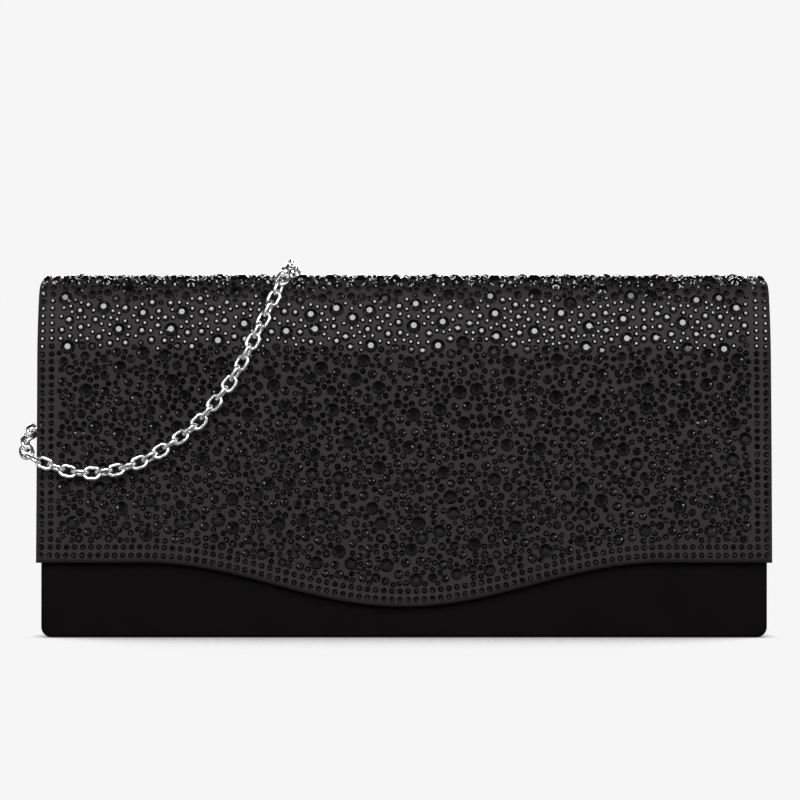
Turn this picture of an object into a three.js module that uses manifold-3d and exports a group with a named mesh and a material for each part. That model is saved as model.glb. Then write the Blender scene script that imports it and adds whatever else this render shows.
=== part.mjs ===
// An evening bag: a slim satin box with a stone-covered flap over its top and front, closed by
// hidden magnets and carried on a fine metal chain. Millimetres, +Z up, front towards -Y.
// The origin is under the middle of the bag, on the surface that it stands on.
import * as THREE from 'three';
import { mergeVertices } from 'three/addons/utils/BufferGeometryUtils.js';
import Module from 'manifold-3d';

const wasm = await Module();
wasm.setup();

// Overall sizes
const WIDTH = 250; // across the lower corners of the flap
const DEPTH = 44; // from the stones in front to the satin behind
const HEIGHT = 124; // from the standing surface to the stones on top

// Sheets, from the outside inwards, and the air between two of them
const STONES = 1.2;
const SATIN = 0.6;
const FOAM = 1.0;
const FLAP_BOARD = 1.4;
const BODY_BOARD = 1.6;
const BASE_BOARD = 2;
const LINING = 0.6;
const GAP = 0.15; // between two layers
const CUT_GAP = 0.3; // round a piece that sits in a hole, and between meeting ends

// Flap
const FLAP_TAPER = 0.6; // each side is this much narrower at the top than at the lower corners
const FLAP_CORNER = 3; // radius of its upper corners, seen from the front
const FLAP_SIDE_EDGE = 25.5; // height of its lower edge at the sides
const FLAP_DIP = 15; // how far the edge dips in the middle
const FLAP_DIP_HALF = 88; // half the width of the dip
const FLAP_SLOPE = THREE.MathUtils.degToRad(22); // how far the front leans back before the top edge
const FLAP_SLOPE_RADIUS = 60;
const FLAP_FRONT_RADIUS = 10;
const FLAP_BACK_RADIUS = 9;
const FLAP_EDGING = 1; // width of the turned edge
const FLAP_CLEARANCE = 0.5; // from the flap's lining to the front panel
const STONE_MARGIN = 2; // plain satin between the flap's edge and the stones
const STONE_END = THREE.MathUtils.degToRad(60); // how far the stones follow the turn at the back

// Body
const BODY_INSET = 1.4; // each side of the body lies this far inside the flap's lower corner
const BODY_CORNER = 3.5; // radius of the lower corners, seen from the front
const MOUTH_HEIGHT = 97; // top edge of the front panel
const GUSSET_HEIGHT = 101;
const GUSSET_SETBACK = 1; // from the panels' side edges to the gusset's
const GUSSET_FOLD_LOW = 3; // how deep the gusset folds inwards at the base
const GUSSET_FOLD_HIGH = 11; // and at its top edge
const GUSSET_SHEET = 0.8;
const BINDING_HEIGHT = 4; // of the bound edge at the mouth

// Slip pocket on the back lining
const POCKET_WIDTH = 120;
const POCKET_LOW = 22;
const POCKET_HIGH = 82;
const POCKET_HEM = 5;

// Magnetic closure
const MAGNET_RADIUS = 7;
const MAGNET_HEIGHT = 27; // of its centre
const WASHER_RADIUS = 9;

// Rings and clasps at the ends of the chain
const RING_WIRE = 0.8; // radius
const RING_WIDTH = 12; // between the middles of its two sides
const RING_DROP = 8.5; // from the middle of its bar to the middle of its bow
const RING_HEIGHT = 104; // of the bar
const RING_INSET = 4.2; // from the body's side edge inwards to the ring's plane
const RING_CORNER = 1.4; // where the bar turns into the bow
const RING_CHEEK = [0.93, 0.45]; // a point of the bow, in shares of half the width and the drop
const RING_JAW = [0.6, 0.84]; // and the next one down
const TAB_WIDTH = 7;
const TAB_SHEET = 1; // the folded satin round the bar
const TAB_TAIL = 13; // how far it reaches down inside the bag
const CLASP_WIDTH = 8;
const CLASP_THICKNESS = 3;
const CLASP_WALL = 1.6;
const CLASP_HOLE = 9.8; // length of the hook's opening
const GATE_LENGTH = 6;
const GATE_STEP = 1.2; // from the lower end of the opening up to the gate
const GATE_SEAT = 0.5; // how far the gate's gap reaches into the opening
const GATE_PLAY = 0.35;
const THUMB_OUT = 1.2; // how far the thumb piece stands out of the gate
const THUMB_SHARES = [0.45, 0.6, 0.75]; // where it starts, peaks and ends along the gate
const EYE_RADIUS = 2.4;
const EYE_HOLE = 1.2;
const EYE_OVERLAP = 0.8; // how far the eye runs into the hook
const EYE_THINNER = 0.6; // than the hook, on each side
const EYE_HOLE_DROP = 0.4; // of the hole below the middle of the eye

// Chain, as the round envelope of its links
const CHAIN_DIAMETER = 5.2;
const CHAIN_SIDES = 8;
const LEAD_LENGTH = 28; // from the clasp to where the chain comes onto the flap
const DRAPE_LENGTH = 170; // from there to where it leaves the flap behind
const HANK_MIDDLE = [44, 41];
const HANK_RUN = 78; // length of the straight runs
const HANK_BEND = 13; // radius of the turns at the ends
const HANK_LEVELS = 4;
const HANK_LIFT = 0.6; // off the surface, for the tie beneath
const TIE_WIDTH = 6;
const TIE_SHEET = 0.3;

const CUT_PAST = 1; // how far a cutting shape runs past what it cuts
const LEAST_CORNER = 0.5;

// Places that follow from the sizes
const satinFront = -DEPTH / 2 + STONES + GAP;
const satinBack = DEPTH / 2;
const satinTop = HEIGHT - STONES - GAP;
const hingeHeight = satinTop - FLAP_BACK_RADIUS;
const flapLayers = { stones: [-STONES - GAP, -GAP], satin: [0, SATIN] };
flapLayers.foam = [flapLayers.satin[1] + GAP, flapLayers.satin[1] + GAP + FOAM];
flapLayers.board = [flapLayers.foam[1] + GAP, flapLayers.foam[1] + GAP + FLAP_BOARD];
flapLayers.lining = [flapLayers.board[1] + GAP, flapLayers.board[1] + GAP + LINING];
const bodyHalf = WIDTH / 2 - BODY_INSET;
const frontFace = satinFront + flapLayers.lining[1] + FLAP_CLEARANCE;
const boardIn = SATIN + GAP; // from a panel's outer face to its board
const liningIn = boardIn + BODY_BOARD + GAP;
const insideFront = frontFace + boardIn + BODY_BOARD;
const insideBack = satinBack - boardIn - BODY_BOARD;
const baseTop = SATIN + GAP + BASE_BOARD;
const gussetHalf = bodyHalf - GUSSET_SETBACK;
const middle = (insideFront + insideBack) / 2;
const ringPlane = bodyHalf - RING_INSET;
const claspTop = RING_HEIGHT - RING_DROP + RING_WIRE + GATE_PLAY;
const claspLow = claspTop - CLASP_HOLE - CLASP_WALL;

const black = { color: 0x0c0b0c, roughness: 0.55, metalness: 0 };
const looks = {
  satin: black,
  stones: { color: 0x060606, roughness: 0.15, metalness: 0.3 },
  board: { color: 0x8d7a5f, roughness: 0.9, metalness: 0 },
  foam: { color: 0xd9d4c8, roughness: 0.95, metalness: 0 },
  lining: { color: 0x161517, roughness: 0.7, metalness: 0 },
  silver: { color: 0xc9c9cc, roughness: 0.22, metalness: 1 },
  magnet: { color: 0x8f9195, roughness: 0.35, metalness: 1 },
};

// Geometry helpers
function solid(geometry) {
  const bare = geometry.clone();
  for (const name of Object.keys(bare.attributes)) {
    if (name !== 'position') bare.deleteAttribute(name);
  }
  const merged = mergeVertices(bare, 1e-4);
  const vertProperties = new Float32Array(merged.attributes.position.array);
  const triVerts = new Uint32Array(merged.index.array);
  return new wasm.Manifold(new wasm.Mesh({ numProp: 3, vertProperties, triVerts }));
}

function geometryOf(manifold) {
  const mesh = manifold.getMesh();
  const geometry = new THREE.BufferGeometry();
  geometry.setAttribute('position', new THREE.BufferAttribute(mesh.vertProperties, 3));
  geometry.setIndex(new THREE.BufferAttribute(mesh.triVerts, 1));
  geometry.computeVertexNormals();
  return geometry;
}

function extruded(shape, depth, curveSegments = 8) {
  return new THREE.ExtrudeGeometry(shape, { depth, bevelEnabled: false, curveSegments });
}

// A shape drawn in Y and Z, from one X to another
function alongX(shape, from, to) {
  const turn = new THREE.Matrix4().makeBasis(
    new THREE.Vector3(0, 1, 0),
    new THREE.Vector3(0, 0, 1),
    new THREE.Vector3(1, 0, 0),
  );
  return extruded(shape, to - from).applyMatrix4(turn).translate(from, 0, 0);
}

// A shape drawn in X and Z, from one Y to another
function alongY(shape, from, to) {
  return extruded(shape, to - from).rotateX(Math.PI / 2).translate(0, to, 0);
}

// A shape drawn in X and Y, from one Z to another
function alongZ(shape, from, to) {
  return extruded(shape, to - from).translate(0, 0, from);
}

function polygon(points) {
  return new THREE.Shape(points.map(([a, b]) => new THREE.Vector2(a, b)));
}

function block(low, high) {
  const size = high.map((value, axis) => value - low[axis]);
  const centre = high.map((value, axis) => (value + low[axis]) / 2);
  return new THREE.BoxGeometry(...size).translate(...centre);
}

function disc(radius, x, z, from, to) {
  const shape = new THREE.Shape();
  shape.absarc(x, z, radius, 0, 2 * Math.PI);
  return extruded(shape, to - from, 16).rotateX(Math.PI / 2).translate(0, to, 0);
}

function arcPoints(centre, radius, from, to, steps) {
  return Array.from({ length: steps + 1 }, (_, n) => {
    const angle = from + ((to - from) * n) / steps;
    return [centre[0] + radius * Math.cos(angle), centre[1] + radius * Math.sin(angle)];
  });
}

// A closed sheet through rings of the same number of points, with flat ends. The second half of
// a ring is the sheet's other face, which is split the opposite way so that the two stay parallel.
function loft(rings, flat) {
  const count = rings[0].length;
  const geometry = new THREE.BufferGeometry();
  const index = [];
  for (let ring = 0; ring + 1 < rings.length; ring += 1) {
    for (let n = 0; n < count; n += 1) {
      const next = (n + 1) % count;
      const [a, b] = [ring * count + n, ring * count + next];
      if (n < count / 2) index.push(a, b, b + count, a, b + count, a + count);
      else index.push(a, b, a + count, b, b + count, a + count);
    }
  }
  const ends = THREE.ShapeUtils.triangulateShape(flat.map(([a, b]) => new THREE.Vector2(a, b)), []);
  const last = (rings.length - 1) * count;
  for (const [a, b, c] of ends) {
    index.push(c, b, a, last + a, last + b, last + c);
  }
  geometry.setAttribute('position', new THREE.Float32BufferAttribute(rings.flat(2), 3));
  geometry.setIndex(index);
  return geometry;
}

const bag = new THREE.Group();

function add(name, geometry, look) {
  const mesh = new THREE.Mesh(geometry, new THREE.MeshStandardMaterial(look));
  mesh.name = name;
  bag.add(mesh);
}

// Flap: its outer satin line in Y and Z, from the front edge over the top to the hinge behind,
// moved inwards by `depth`
function flapLine(depth, endAngle = Math.PI / 2) {
  const slopeCentre = [satinFront + FLAP_SLOPE_RADIUS, slopeStart()];
  const flatStart = flapFlatStart();
  const frontCentre = [flatStart, satinTop - FLAP_FRONT_RADIUS];
  const backCentre = [satinBack - FLAP_BACK_RADIUS, satinTop - FLAP_BACK_RADIUS];
  return [
    [satinFront + depth, 0],
    ...arcPoints(slopeCentre, FLAP_SLOPE_RADIUS - depth, Math.PI, Math.PI - FLAP_SLOPE, 4),
    ...arcPoints(frontCentre, FLAP_FRONT_RADIUS - depth, Math.PI - FLAP_SLOPE, Math.PI / 2, 6).slice(1),
    ...arcPoints(backCentre, FLAP_BACK_RADIUS - depth, Math.PI / 2, Math.PI / 2 - endAngle, 6),
  ];
}

function slopeStart() {
  const rise = Math.sin(FLAP_SLOPE);
  return satinTop - FLAP_FRONT_RADIUS - (FLAP_SLOPE_RADIUS - FLAP_FRONT_RADIUS) * rise;
}

function flapFlatStart() {
  const lean = FLAP_SLOPE_RADIUS * (1 - Math.cos(FLAP_SLOPE));
  return satinFront + lean + FLAP_FRONT_RADIUS * Math.cos(FLAP_SLOPE);
}

function flapEdgeHeight(x) {
  const share = Math.min(Math.abs(x) / FLAP_DIP_HALF, 1);
  return FLAP_SIDE_EDGE - (FLAP_DIP * (1 + Math.cos(Math.PI * share))) / 2;
}

// The flap seen from the front, drawn smaller by `inset` on its sides and lower edge
function flapOutline(inset) {
  const low = WIDTH / 2 - inset;
  const high = low - FLAP_TAPER;
  const dipSteps = 16;
  const edge = Array.from({ length: dipSteps + 1 }, (_, n) => {
    const x = FLAP_DIP_HALF * ((2 * n) / dipSteps - 1);
    return [x, flapEdgeHeight(x) + inset];
  });
  const corner = Math.max(FLAP_CORNER - inset, LEAST_CORNER);
  const top = HEIGHT - Math.max(inset - STONE_MARGIN, 0);
  return polygon([
    [-low, FLAP_SIDE_EDGE + inset],
    ...edge,
    [low, FLAP_SIDE_EDGE + inset],
    ...arcPoints([high - corner, top - corner], corner, 0, Math.PI / 2, 4),
    ...arcPoints([corner - high, top - corner], corner, Math.PI / 2, Math.PI, 4),
  ]);
}

function flapSheet([outer, inner], inset, endAngle) {
  const section = polygon([...flapLine(outer, endAngle), ...flapLine(inner, endAngle).reverse()]);
  const wide = solid(alongX(section, -WIDTH, WIDTH));
  return wide.intersect(solid(alongY(flapOutline(inset), -DEPTH, DEPTH)));
}

function addFlap() {
  const inside = FLAP_EDGING + GAP;
  const magnetHole = solid(disc(MAGNET_RADIUS + CUT_GAP, 0, MAGNET_HEIGHT, -DEPTH, 0));
  const washerHole = solid(disc(WASHER_RADIUS + CUT_GAP, 0, MAGNET_HEIGHT, -DEPTH, 0));
  const whole = [flapLayers.satin[0], flapLayers.lining[1]];
  const core = flapSheet([whole[0] - CUT_PAST, whole[1] + CUT_PAST], FLAP_EDGING);
  add('flap_stones', geometryOf(flapSheet(flapLayers.stones, STONE_MARGIN, STONE_END)), looks.stones);
  add('flap_satin', geometryOf(flapSheet(flapLayers.satin, inside)), looks.satin);
  add('flap_foam', geometryOf(flapSheet(flapLayers.foam, inside).subtract(washerHole)), looks.foam);
  add('flap_board', geometryOf(flapSheet(flapLayers.board, inside).subtract(magnetHole)), looks.board);
  add('flap_lining', geometryOf(flapSheet(flapLayers.lining, inside).subtract(magnetHole)), looks.lining);
  add('flap_edging', geometryOf(flapSheet(whole, 0).subtract(core)), looks.satin);
  const [washerFrom, washerTo] = flapLayers.foam.map((depth) => satinFront + depth);
  add('flap_washer', disc(WASHER_RADIUS, 0, MAGNET_HEIGHT, washerFrom, washerTo), looks.silver);
  const magnetFrom = satinFront + flapLayers.board[0];
  const magnetTo = satinFront + flapLayers.lining[1];
  add('flap_magnet', disc(MAGNET_RADIUS, 0, MAGNET_HEIGHT, magnetFrom, magnetTo), looks.magnet);
}

// A panel seen from the front: square above, with round lower corners
function panelOutline(half, low, high, corner) {
  return polygon([
    [half, high],
    [-half, high],
    ...arcPoints([corner - half, low + corner], corner, Math.PI, 1.5 * Math.PI, 5),
    ...arcPoints([half - corner, low + corner], corner, 1.5 * Math.PI, 2 * Math.PI, 5),
  ]);
}

// The panels' linings stop short of the gussets' linings, which slant across their edges
function liningHalf() {
  const slant = (GUSSET_FOLD_HIGH * LINING) / (middle - insideFront - GAP);
  return gussetHalf - GUSSET_SHEET - GAP - LINING - slant - CUT_GAP;
}

function addFrontPanel() {
  const boardFrom = frontFace + boardIn;
  const boardTo = boardFrom + BODY_BOARD;
  const boardLow = SATIN + GAP;
  const boardHigh = MOUTH_HEIGHT - SATIN - GAP;
  const hole = solid(disc(MAGNET_RADIUS + CUT_GAP, 0, MAGNET_HEIGHT, -DEPTH, DEPTH));
  const board = panelOutline(bodyHalf - boardIn, boardLow, boardHigh, BODY_CORNER - boardIn);
  add('front_board', geometryOf(solid(alongY(board, boardFrom, boardTo)).subtract(hole)), looks.board);
  const satin = panelOutline(bodyHalf, 0, MOUTH_HEIGHT, BODY_CORNER);
  add('front_satin', alongY(satin, frontFace, frontFace + SATIN), looks.satin);
  add('front_plate', disc(MAGNET_RADIUS, 0, MAGNET_HEIGHT, boardFrom, boardTo), looks.magnet);
  const liningFrom = frontFace + liningIn;
  const liningLow = baseTop + GAP + LINING + GAP;
  const lining = block(
    [-liningHalf(), liningFrom, liningLow],
    [liningHalf(), liningFrom + LINING, MOUTH_HEIGHT - BINDING_HEIGHT - GAP],
  );
  add('front_lining', lining, looks.lining);
  const bindingLow = MOUTH_HEIGHT - BINDING_HEIGHT;
  const binding = block(
    [-liningHalf(), liningFrom, bindingLow],
    [liningHalf(), liningFrom + LINING, MOUTH_HEIGHT],
  );
  add('mouth_binding', binding, looks.satin);
}

function addBackPanel() {
  const top = hingeHeight - CUT_GAP;
  const satin = panelOutline(bodyHalf, 0, top, BODY_CORNER);
  add('back_satin', alongY(satin, satinBack - SATIN, satinBack), looks.satin);
  const board = panelOutline(bodyHalf - boardIn, SATIN + GAP, top - boardIn, BODY_CORNER - boardIn);
  add('back_board', alongY(board, insideBack, insideBack + BODY_BOARD), looks.board);
  const liningTo = insideBack - GAP;
  const liningLow = baseTop + GAP + LINING + GAP;
  const lining = block(
    [-liningHalf(), liningTo - LINING, liningLow],
    [liningHalf(), liningTo, top - boardIn],
  );
  add('back_lining', lining, looks.lining);
  const pocketTo = liningTo - LINING - GAP;
  const pocket = block(
    [-POCKET_WIDTH / 2, pocketTo - LINING, POCKET_LOW],
    [POCKET_WIDTH / 2, pocketTo, POCKET_HIGH - POCKET_HEM - GAP],
  );
  add('pocket_panel', pocket, looks.lining);
  const hem = block(
    [-POCKET_WIDTH / 2, pocketTo - LINING, POCKET_HIGH - POCKET_HEM],
    [POCKET_WIDTH / 2, pocketTo, POCKET_HIGH],
  );
  add('pocket_hem', hem, looks.satin);
}

function addBase() {
  const half = bodyHalf - BODY_CORNER - GAP;
  const satinFrom = frontFace + SATIN + GAP;
  const satinTo = satinBack - SATIN - GAP;
  add('base_satin', block([-half, satinFrom, 0], [half, satinTo, SATIN]), looks.satin);
  const board = block(
    [-half, insideFront + GAP, SATIN + GAP],
    [half, insideBack - GAP, baseTop],
  );
  add('base_board', board, looks.board);
  const liningFold = gussetHalf - GUSSET_FOLD_LOW - GUSSET_SHEET - GAP - LINING - CUT_GAP;
  const liningSide = Math.min(half, liningFold);
  const lining = block(
    [-liningSide, insideFront + GAP, baseTop + GAP],
    [liningSide, insideBack - GAP, baseTop + GAP + LINING],
  );
  add('base_lining', lining, looks.lining);
}

// Gussets: a sheet folded inwards along its middle, deeper towards the mouth
function gussetSheet(sign, from, thickness) {
  const levels = 8;
  const low = baseTop + GAP;
  const ring = (z) => {
    const share = (z - low) / (GUSSET_HEIGHT - low);
    const fold = GUSSET_FOLD_LOW + (GUSSET_FOLD_HIGH - GUSSET_FOLD_LOW) * share;
    const side = gussetHalf - from;
    const points = [
      [side, insideFront + GAP],
      [side - fold, middle],
      [side, insideBack - GAP],
      [side - thickness, insideBack - GAP],
      [side - fold - thickness, middle],
      [side - thickness, insideFront + GAP],
    ];
    return points.map(([x, y]) => [sign * x, y, z]);
  };
  const heights = Array.from({ length: levels + 1 }, (_, n) => low + ((GUSSET_HEIGHT - low) * n) / levels);
  const rings = heights.map((z) => (sign > 0 ? ring(z) : ring(z).reverse()));
  return loft(rings, rings[0].map(([x, y]) => [x, y]));
}

function addGusset(side, sign) {
  add(`gusset_${side}`, gussetSheet(sign, 0, GUSSET_SHEET), looks.satin);
  const liningFrom = GUSSET_SHEET + GAP;
  add(`gusset_lining_${side}`, gussetSheet(sign, liningFrom, LINING), looks.lining);
}

// A satin tab folded round the ring's bar, over the gusset's top edge, and sewn down inside the bag
function addTab(side, sign) {
  const x = sign * ringPlane;
  const loop = RING_WIRE + CUT_GAP;
  const top = RING_HEIGHT + loop + TAB_SHEET;
  const from = middle - TAB_WIDTH / 2;
  const to = middle + TAB_WIDTH / 2;
  const liningRidge = gussetHalf - GUSSET_FOLD_HIGH - GUSSET_SHEET - GAP - LINING;
  const tailOut = sign * (liningRidge - CUT_GAP);
  const tailIn = tailOut - sign * TAB_SHEET;
  const strap = block(
    [Math.min(x, tailIn), from, top - TAB_SHEET],
    [Math.max(x, tailIn), to, top],
  );
  const tail = block(
    [Math.min(tailOut, tailIn), from, top - TAB_TAIL],
    [Math.max(tailOut, tailIn), to, top],
  );
  const tab = solid(disc(loop + TAB_SHEET, x, RING_HEIGHT, from, to))
    .add(solid(strap))
    .subtract(solid(disc(loop, x, RING_HEIGHT, from - CUT_PAST, to + CUT_PAST)))
    .add(solid(tail));
  add(`ring_tab_${side}`, geometryOf(tab), looks.satin);
}

// A D of wire: a straight bar above a round bow
function addRing(side, sign) {
  const half = RING_WIDTH / 2;
  const straight = half - RING_CORNER;
  const rightSide = [
    [straight / 3, 0],
    [(2 * straight) / 3, 0],
    [straight, 0],
    [half, -RING_CORNER],
    [RING_CHEEK[0] * half, -RING_CHEEK[1] * RING_DROP],
    [RING_JAW[0] * half, -RING_JAW[1] * RING_DROP],
  ];
  const leftSide = rightSide.map(([y, z]) => [-y, z]).reverse();
  const outline = [[0, 0], ...rightSide, [0, -RING_DROP], ...leftSide];
  const points = outline.map(
    ([y, z]) => new THREE.Vector3(sign * ringPlane, middle + y, RING_HEIGHT + z),
  );
  const line = new THREE.CatmullRomCurve3(points, true);
  add(`ring_${side}`, new THREE.TubeGeometry(line, 40, RING_WIRE, 8, true), looks.silver);
}

function roundedSlot(x, low, high, half) {
  return [
    ...arcPoints([x, low + half], half, Math.PI, 2 * Math.PI, 8),
    ...arcPoints([x, high - half], half, 0, Math.PI, 8),
  ];
}

// A hook with its opening on the outer side, where the gate closes it, and an eye below
function addClasp(side, sign) {
  const x = sign * ringPlane;
  const half = CLASP_WIDTH / 2;
  const holeHalf = half - CLASP_WALL;
  const from = middle - CLASP_THICKNESS / 2;
  const to = middle + CLASP_THICKNESS / 2;
  const bodyTop = claspTop + CLASP_WALL;
  const body = solid(alongY(polygon(roundedSlot(x, claspLow, bodyTop, half)), from, to));
  const holeLow = claspLow + CLASP_WALL;
  const hole = polygon(roundedSlot(x, holeLow, claspTop, holeHalf));
  const gateLow = holeLow + GATE_STEP;
  const gateHigh = gateLow + GATE_LENGTH;
  const slotInner = x + sign * (holeHalf - GATE_SEAT);
  const slotOuter = x + sign * (half + CUT_PAST);
  const slot = block(
    [Math.min(slotInner, slotOuter), from - CUT_PAST, gateLow - GATE_PLAY],
    [Math.max(slotInner, slotOuter), to + CUT_PAST, gateHigh + GATE_PLAY],
  );
  const eyeHeight = claspLow - EYE_RADIUS + EYE_OVERLAP;
  const eye = solid(disc(EYE_RADIUS, x, eyeHeight, from + EYE_THINNER, to - EYE_THINNER));
  const drop = eyeHeight - EYE_HOLE_DROP;
  const eyeHole = solid(disc(EYE_HOLE, x, drop, from - CUT_PAST, to + CUT_PAST));
  const hook = body
    .subtract(solid(alongY(hole, from - CUT_PAST, to + CUT_PAST)))
    .subtract(solid(slot))
    .add(eye)
    .subtract(eyeHole);
  add(`clasp_${side}`, geometryOf(hook), looks.silver);
  const gateIn = x + sign * holeHalf;
  const gateOut = x + sign * half;
  const thumb = x + sign * (half + THUMB_OUT);
  const [thumbLow, thumbPeak, thumbHigh] = THUMB_SHARES.map((share) => gateLow + GATE_LENGTH * share);
  const gate = polygon([
    [gateIn, gateLow],
    [gateOut, gateLow],
    [gateOut, thumbLow],
    [thumb, thumbPeak],
    [gateOut, thumbHigh],
    [gateOut, gateHigh],
    [gateIn, gateHigh],
  ]);
  add(`clasp_gate_${side}`, alongY(gate, from + GATE_PLAY, to - GATE_PLAY), looks.silver);
}

// Chain. Its route starts under the left clasp, comes round the flap's left edge, hangs across
// the front, goes over the top, and falls behind the bag to the hank on the standing surface.
const frontRoute = [
  [-119.7, 3.0, 77.9],
  [-120.2, 0.6, 74.6],
  [-122.3, -4.4, 72.6],
  [-125.6, -10.4, 71.2],
  [-127.6, -16.2, 69.0],
  [-128.2, -21.4, 65.2],
  [-126.4, -24.8, 61.6],
  [-121.6, -25.3, 59.6],
  [-113.4, -25.2, 56.8],
  [-103.9, -25.2, 56.2],
  [-94.7, -25.2, 57.9],
  [-85.7, -25.2, 61.5],
  [-78.0, -25.2, 66.6],
  [-70.2, -25.2, 72.5],
  [-64.4, -25.2, 79.4],
  [-58.6, -25.2, 86.9],
  [-53.5, -25.0, 95.8],
  [-49.4, -24.3, 104.1],
  [-45.4, -22.8, 112.5],
  [-42.0, -20.3, 120.0],
  [-39.6, -14.4, 125.4],
  [-38.9, -7.0, 126.9],
  [-38.8, 2.0, 126.9],
  [-38.6, 12.4, 126.9],
  [-38.4, 21.6, 124.3],
  [-38.0, 25.9, 116.2],
  [-37.0, 25.4, 100.0],
  [-34.0, 25.4, 72.0],
  [-31.0, 25.6, 40.0],
  [-27.4, 26.0, 22.0],
  [-20.6, 26.8, 9.6],
  [-13.8, 27.6, 4.6],
  [-7.0, 28.0, 3.6],
];
const returnRoute = [
  [95.0, 28.0, 19.4],
  [107.4, 28.4, 24.4],
  [118.4, 28.2, 31.4],
  [125.0, 25.6, 39.6],
  [127.0, 19.6, 47.4],
  [124.6, 12.4, 55.4],
  [121.4, 6.6, 63.4],
  [119.8, 3.4, 71.4],
  [119.7, 3.0, 77.9],
];

// Part of a longer line, by shares of its length
class Stretch extends THREE.Curve {
  constructor(line, from, to) {
    super();
    Object.assign(this, { line, from, to });
  }

  getPoint(t, target = new THREE.Vector3()) {
    return this.line.getPointAt(this.from + (this.to - this.from) * t, target);
  }
}

function chainTube(line, steps) {
  const round = arcPoints([0, 0], CHAIN_DIAMETER / 2, 0, 2 * Math.PI, CHAIN_SIDES).slice(1);
  return new THREE.ExtrudeGeometry(polygon(round), { extrudePath: line, steps, bevelEnabled: false });
}

function lineThrough(points) {
  const line = new THREE.CatmullRomCurve3(points.map((point) => new THREE.Vector3(...point)));
  line.arcLengthDivisions = 2000;
  return line;
}

function addChain() {
  const route = lineThrough(frontRoute);
  const whole = route.getLength();
  const gap = CUT_GAP / whole;
  const leadEnd = LEAD_LENGTH / whole;
  const drapeEnd = (LEAD_LENGTH + DRAPE_LENGTH) / whole;
  add('chain_lead', chainTube(new Stretch(route, 0, leadEnd - gap), 12), looks.silver);
  add('chain_drape', chainTube(new Stretch(route, leadEnd, drapeEnd - gap), 34), looks.silver);
  add('chain_tail', chainTube(new Stretch(route, drapeEnd, 1 - gap), 16), looks.silver);
  add('chain_return', chainTube(new Stretch(lineThrough(returnRoute), gap, 1), 18), looks.silver);
}

function obround(centre, run, radius) {
  const [x, y] = centre;
  return [
    ...arcPoints([x + run / 2, y], radius, -Math.PI / 2, Math.PI / 2, 8),
    ...arcPoints([x - run / 2, y], radius, Math.PI / 2, 1.5 * Math.PI, 8),
  ];
}

// The rest of the chain, wound flat and held by a ribbon, as the outer shape of its turns
function addHank() {
  const half = CHAIN_DIAMETER / 2;
  const top = HANK_LIFT + HANK_LEVELS * CHAIN_DIAMETER;
  const outline = polygon(obround(HANK_MIDDLE, HANK_RUN, HANK_BEND + half));
  add('chain_hank', alongZ(outline, HANK_LIFT, top), looks.silver);
  const [x, y] = HANK_MIDDLE;
  const innerHalf = HANK_BEND + half + CUT_GAP;
  const outerHalf = innerHalf + TIE_SHEET;
  const band = polygon([
    [y - outerHalf, HANK_LIFT - CUT_GAP - TIE_SHEET],
    [y + outerHalf, HANK_LIFT - CUT_GAP - TIE_SHEET],
    [y + outerHalf, top + CUT_GAP + TIE_SHEET],
    [y - outerHalf, top + CUT_GAP + TIE_SHEET],
  ]);
  const inside = polygon([
    [y - innerHalf, HANK_LIFT - CUT_GAP],
    [y + innerHalf, HANK_LIFT - CUT_GAP],
    [y + innerHalf, top + CUT_GAP],
    [y - innerHalf, top + CUT_GAP],
  ]);
  band.holes.push(new THREE.Path(inside.getPoints()));
  add('chain_tie', alongX(band, x - TIE_WIDTH / 2, x + TIE_WIDTH / 2), looks.satin);
}

addFlap();
addFrontPanel();
addBackPanel();
addBase();
for (const [side, sign] of [['left', -1], ['right', 1]]) {
  addGusset(side, sign);
  addTab(side, sign);
  addRing(side, sign);
  addClasp(side, sign);
}
addChain();
addHank();

export default bag;
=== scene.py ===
"""An evening bag: builds its cloth, stones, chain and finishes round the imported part's solids."""

import math

import bpy
import numpy as np
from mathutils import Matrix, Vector


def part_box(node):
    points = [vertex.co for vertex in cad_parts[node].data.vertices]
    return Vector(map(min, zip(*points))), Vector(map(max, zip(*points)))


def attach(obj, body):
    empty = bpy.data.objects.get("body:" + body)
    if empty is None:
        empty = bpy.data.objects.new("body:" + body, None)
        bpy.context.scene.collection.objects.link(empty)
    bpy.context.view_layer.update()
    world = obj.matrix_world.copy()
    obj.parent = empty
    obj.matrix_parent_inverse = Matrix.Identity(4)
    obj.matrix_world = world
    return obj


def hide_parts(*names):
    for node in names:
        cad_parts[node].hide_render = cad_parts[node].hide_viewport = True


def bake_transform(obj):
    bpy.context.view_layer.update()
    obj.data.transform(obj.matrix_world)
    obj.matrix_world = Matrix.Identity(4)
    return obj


bl_info = {
    "name": "Evening Bag",
    "version": (1, 0, 0),
    "blender": (4, 5, 0),
    "location": "3D View > Sidebar > Evening Bag",
    "description": "Dresses a slim evening bag in satin, set stones and a fine chain",
    "category": "Object",
}

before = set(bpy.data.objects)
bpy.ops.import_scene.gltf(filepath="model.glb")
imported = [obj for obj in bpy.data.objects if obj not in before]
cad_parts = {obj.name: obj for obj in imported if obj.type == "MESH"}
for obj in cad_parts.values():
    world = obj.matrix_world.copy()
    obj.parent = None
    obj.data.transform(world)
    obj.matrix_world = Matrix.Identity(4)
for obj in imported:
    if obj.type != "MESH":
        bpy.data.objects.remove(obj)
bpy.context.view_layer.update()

MM = 0.001


def box_mm(node):
    low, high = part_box(node)
    return np.array(low) / MM, np.array(high) / MM


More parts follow.
